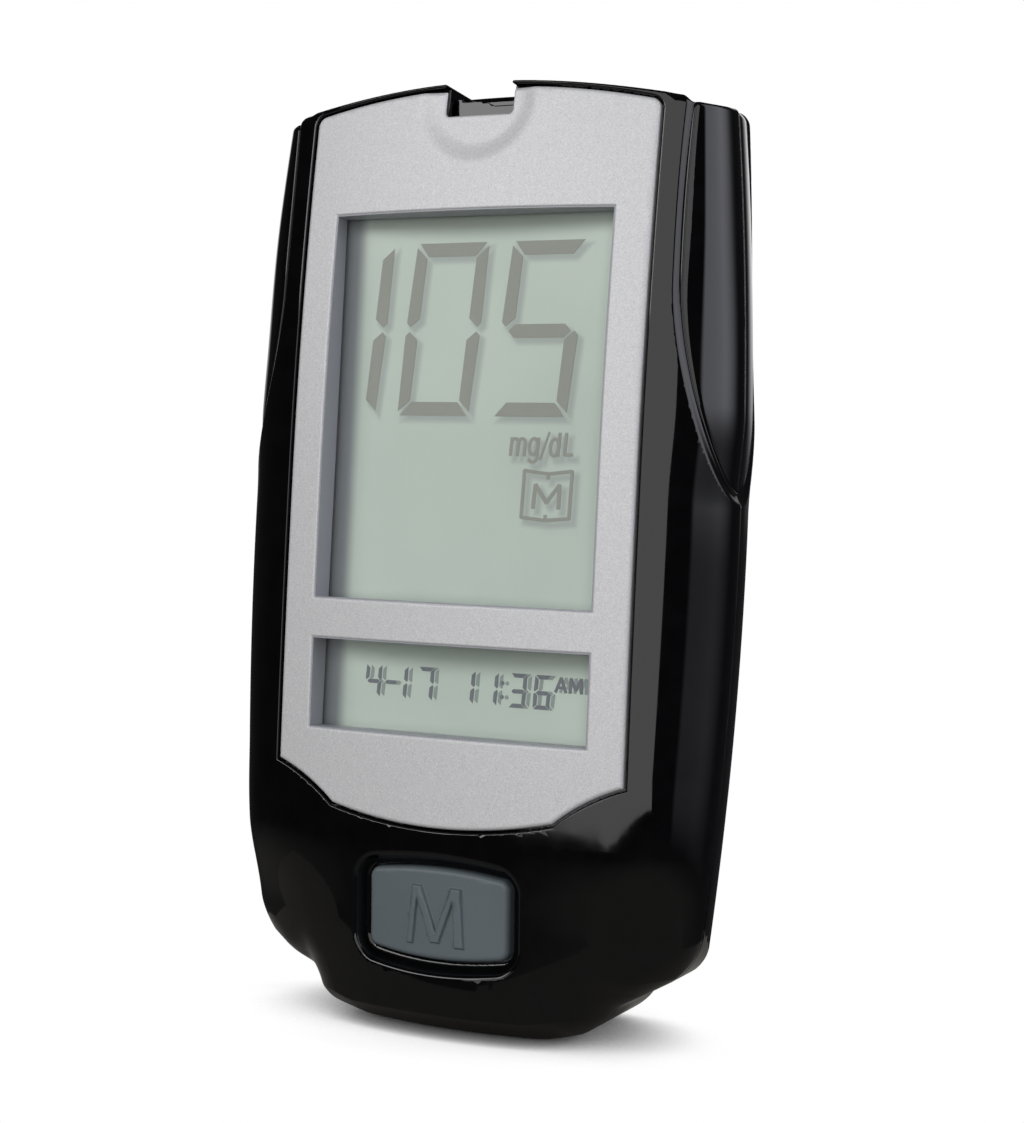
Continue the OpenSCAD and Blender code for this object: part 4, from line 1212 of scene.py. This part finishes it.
# What reflections see. Pairs are where a soft edge starts and ends, along a direction of length 1.
ROOM = (0.024, 0.024, 0.026)
GROUND = (0.2, 0.19, 0.175)
GROUND_EDGE = (-0.2, -0.65)
SIDE_WAY = (1.0, 0.0, 0.0)
SIDE_EDGE = (0.45, 0.75)
SIDE_BACK = (0.3, 0.85)
SIDE_FRONT = (-0.4, -0.28)
SIDE_LOW = 0.15
SIDE_RISE = (0.0, 0.16)
SIDE_FOOT = (-0.3, -0.1)
SIDE_COLOUR = (0.95, 0.96, 1.06)
SIDE_GLOW = 2.45
SCREEN_WAY = (-0.4, 0.917, 0.0)
SCREEN_EDGE = (0.8, 0.93)
SCREEN_LOW = (0.02, 0.2)


def black_room_white_backdrop():
    """The camera sees white all round. Reflections see a dark room, a white screen behind the
    meter, a soft glow on its right and a dim ground."""
    world = bpy.data.worlds.new("world")
    scene.world = world
    world.use_nodes = True
    look = Nodes(world.node_tree)
    rays = look.add("LightPath")
    way = look.add("TexCoord")["Generated"]
    axes = look.add("SeparateXYZ", {0: way})

    def towards(direction):
        return look.add("VectorMath", {0: way, 1: direction}, operation="DOT_PRODUCT")["Value"]

    def ramp(value, edge, low=0.0, high=1.0):
        return look.span(value, low, high, *edge, "SMOOTHSTEP")

    def product(*factors):
        return functools.reduce(lambda a, b: look.math("MULTIPLY", a, b), factors)

    def backdrop(colour, strength=1.0):
        return look.add("Background", {0: colour, 1: strength})[0]

    screen = product(ramp(towards(SCREEN_WAY), SCREEN_EDGE), ramp(axes["Z"], SCREEN_LOW))
    mirrored = look.math("MAXIMUM", rays["Is Glossy Ray"], rays["Is Transmission Ray"])
    white = look.math("MAXIMUM", rays["Is Camera Ray"], product(mirrored, screen))
    glow = product(
        ramp(towards(SIDE_WAY), SIDE_EDGE),
        ramp(axes["Y"], SIDE_BACK, 1.0, 0.0),
        ramp(axes["Y"], SIDE_FRONT),
        ramp(axes["Z"], SIDE_RISE, SIDE_LOW),
        ramp(axes["Z"], SIDE_FOOT),
        SIDE_GLOW,
    )
    down = ramp(axes["Z"], GROUND_EDGE)
    room = look.add("MixShader", {0: down, 1: backdrop(ROOM), 2: backdrop(GROUND)})[0]
    room = look.add("AddShader", {0: room, 1: backdrop(SIDE_COLOUR, glow)})[0]
    seen = look.add("MixShader", {0: white, 1: room, 2: backdrop((1.0, 1.0, 1.0))})[0]
    look.feed(world.node_tree.nodes["World Output"].inputs[0], seen)


def softbox(name, azimuth, elevation, distance, width, height, strength):
    """Area light that faces the meter. The azimuth turns from the front towards the right."""
    az, el = math.radians(azimuth), math.radians(elevation)
    way = Vector((math.sin(az) * math.cos(el), -math.cos(az) * math.cos(el), math.sin(el)))
    data = bpy.data.lights.new(name, "AREA")
    data.shape = "RECTANGLE"
    data.size, data.size_y = width, height
    data.energy = strength * width * height * math.pi
    lamp = bpy.data.objects.new(name, data)
    lamp.matrix_world = (
        Matrix.Translation(Vector((0, 0, BODY_H / 2 * MM)) + way * distance)
        @ way.to_track_quat("Z", "Y").to_matrix().to_4x4()
    )
    scene.collection.objects.link(lamp)


def white_floor():
    """Carries the shadow round the foot. To the camera it fades to plain white further out, and
    reflections see it as dim ground."""
    left, right, near, far = FLOOR
    corners = [(left, near, 0), (right, near, 0), (right, far, 0), (left, far, 0)]
    floor = mesh_piece("floor", corners, [(0, 1, 2, 3)])
    look = Shader("white_floor", 0.9)
    inputs = {"Distance": FLOOR_NEAR * MM}
    open_air = look.add("AmbientOcclusion", inputs, samples=8)["AO"]
    inputs = {0: look.place, 1: Vector(FLOOR_MIDDLE) * MM}
    away = look.add("VectorMath", inputs, operation="DISTANCE")["Value"]
    fade = look.span(away, 0.0, 1.0, *(edge * MM for edge in FLOOR_FADE), "SMOOTHSTEP")
    light = look.math("MAXIMUM", look.span(open_air, 0.0, 1.0, *FLOOR_DARK), fade)
    shown = look.add("Emission", {0: (1.0, 1.0, 1.0), 1: light})[0]
    dim = look.add("Emission", {0: GROUND, 1: light})[0]
    to_camera = look.add("LightPath")["Is Camera Ray"]
    look.feed(look.out, look.add("MixShader", {0: to_camera, 1: dim, 2: shown})[0])
    floor.data.materials.append(look.mat)


black_room_white_backdrop()
softbox("key", -30, 22, 1.1, 0.6, 0.3, 6.4)
softbox("front_panel", 10.0, 12.0, 1.2, 1.15, 1.1, 2.0)
white_floor()
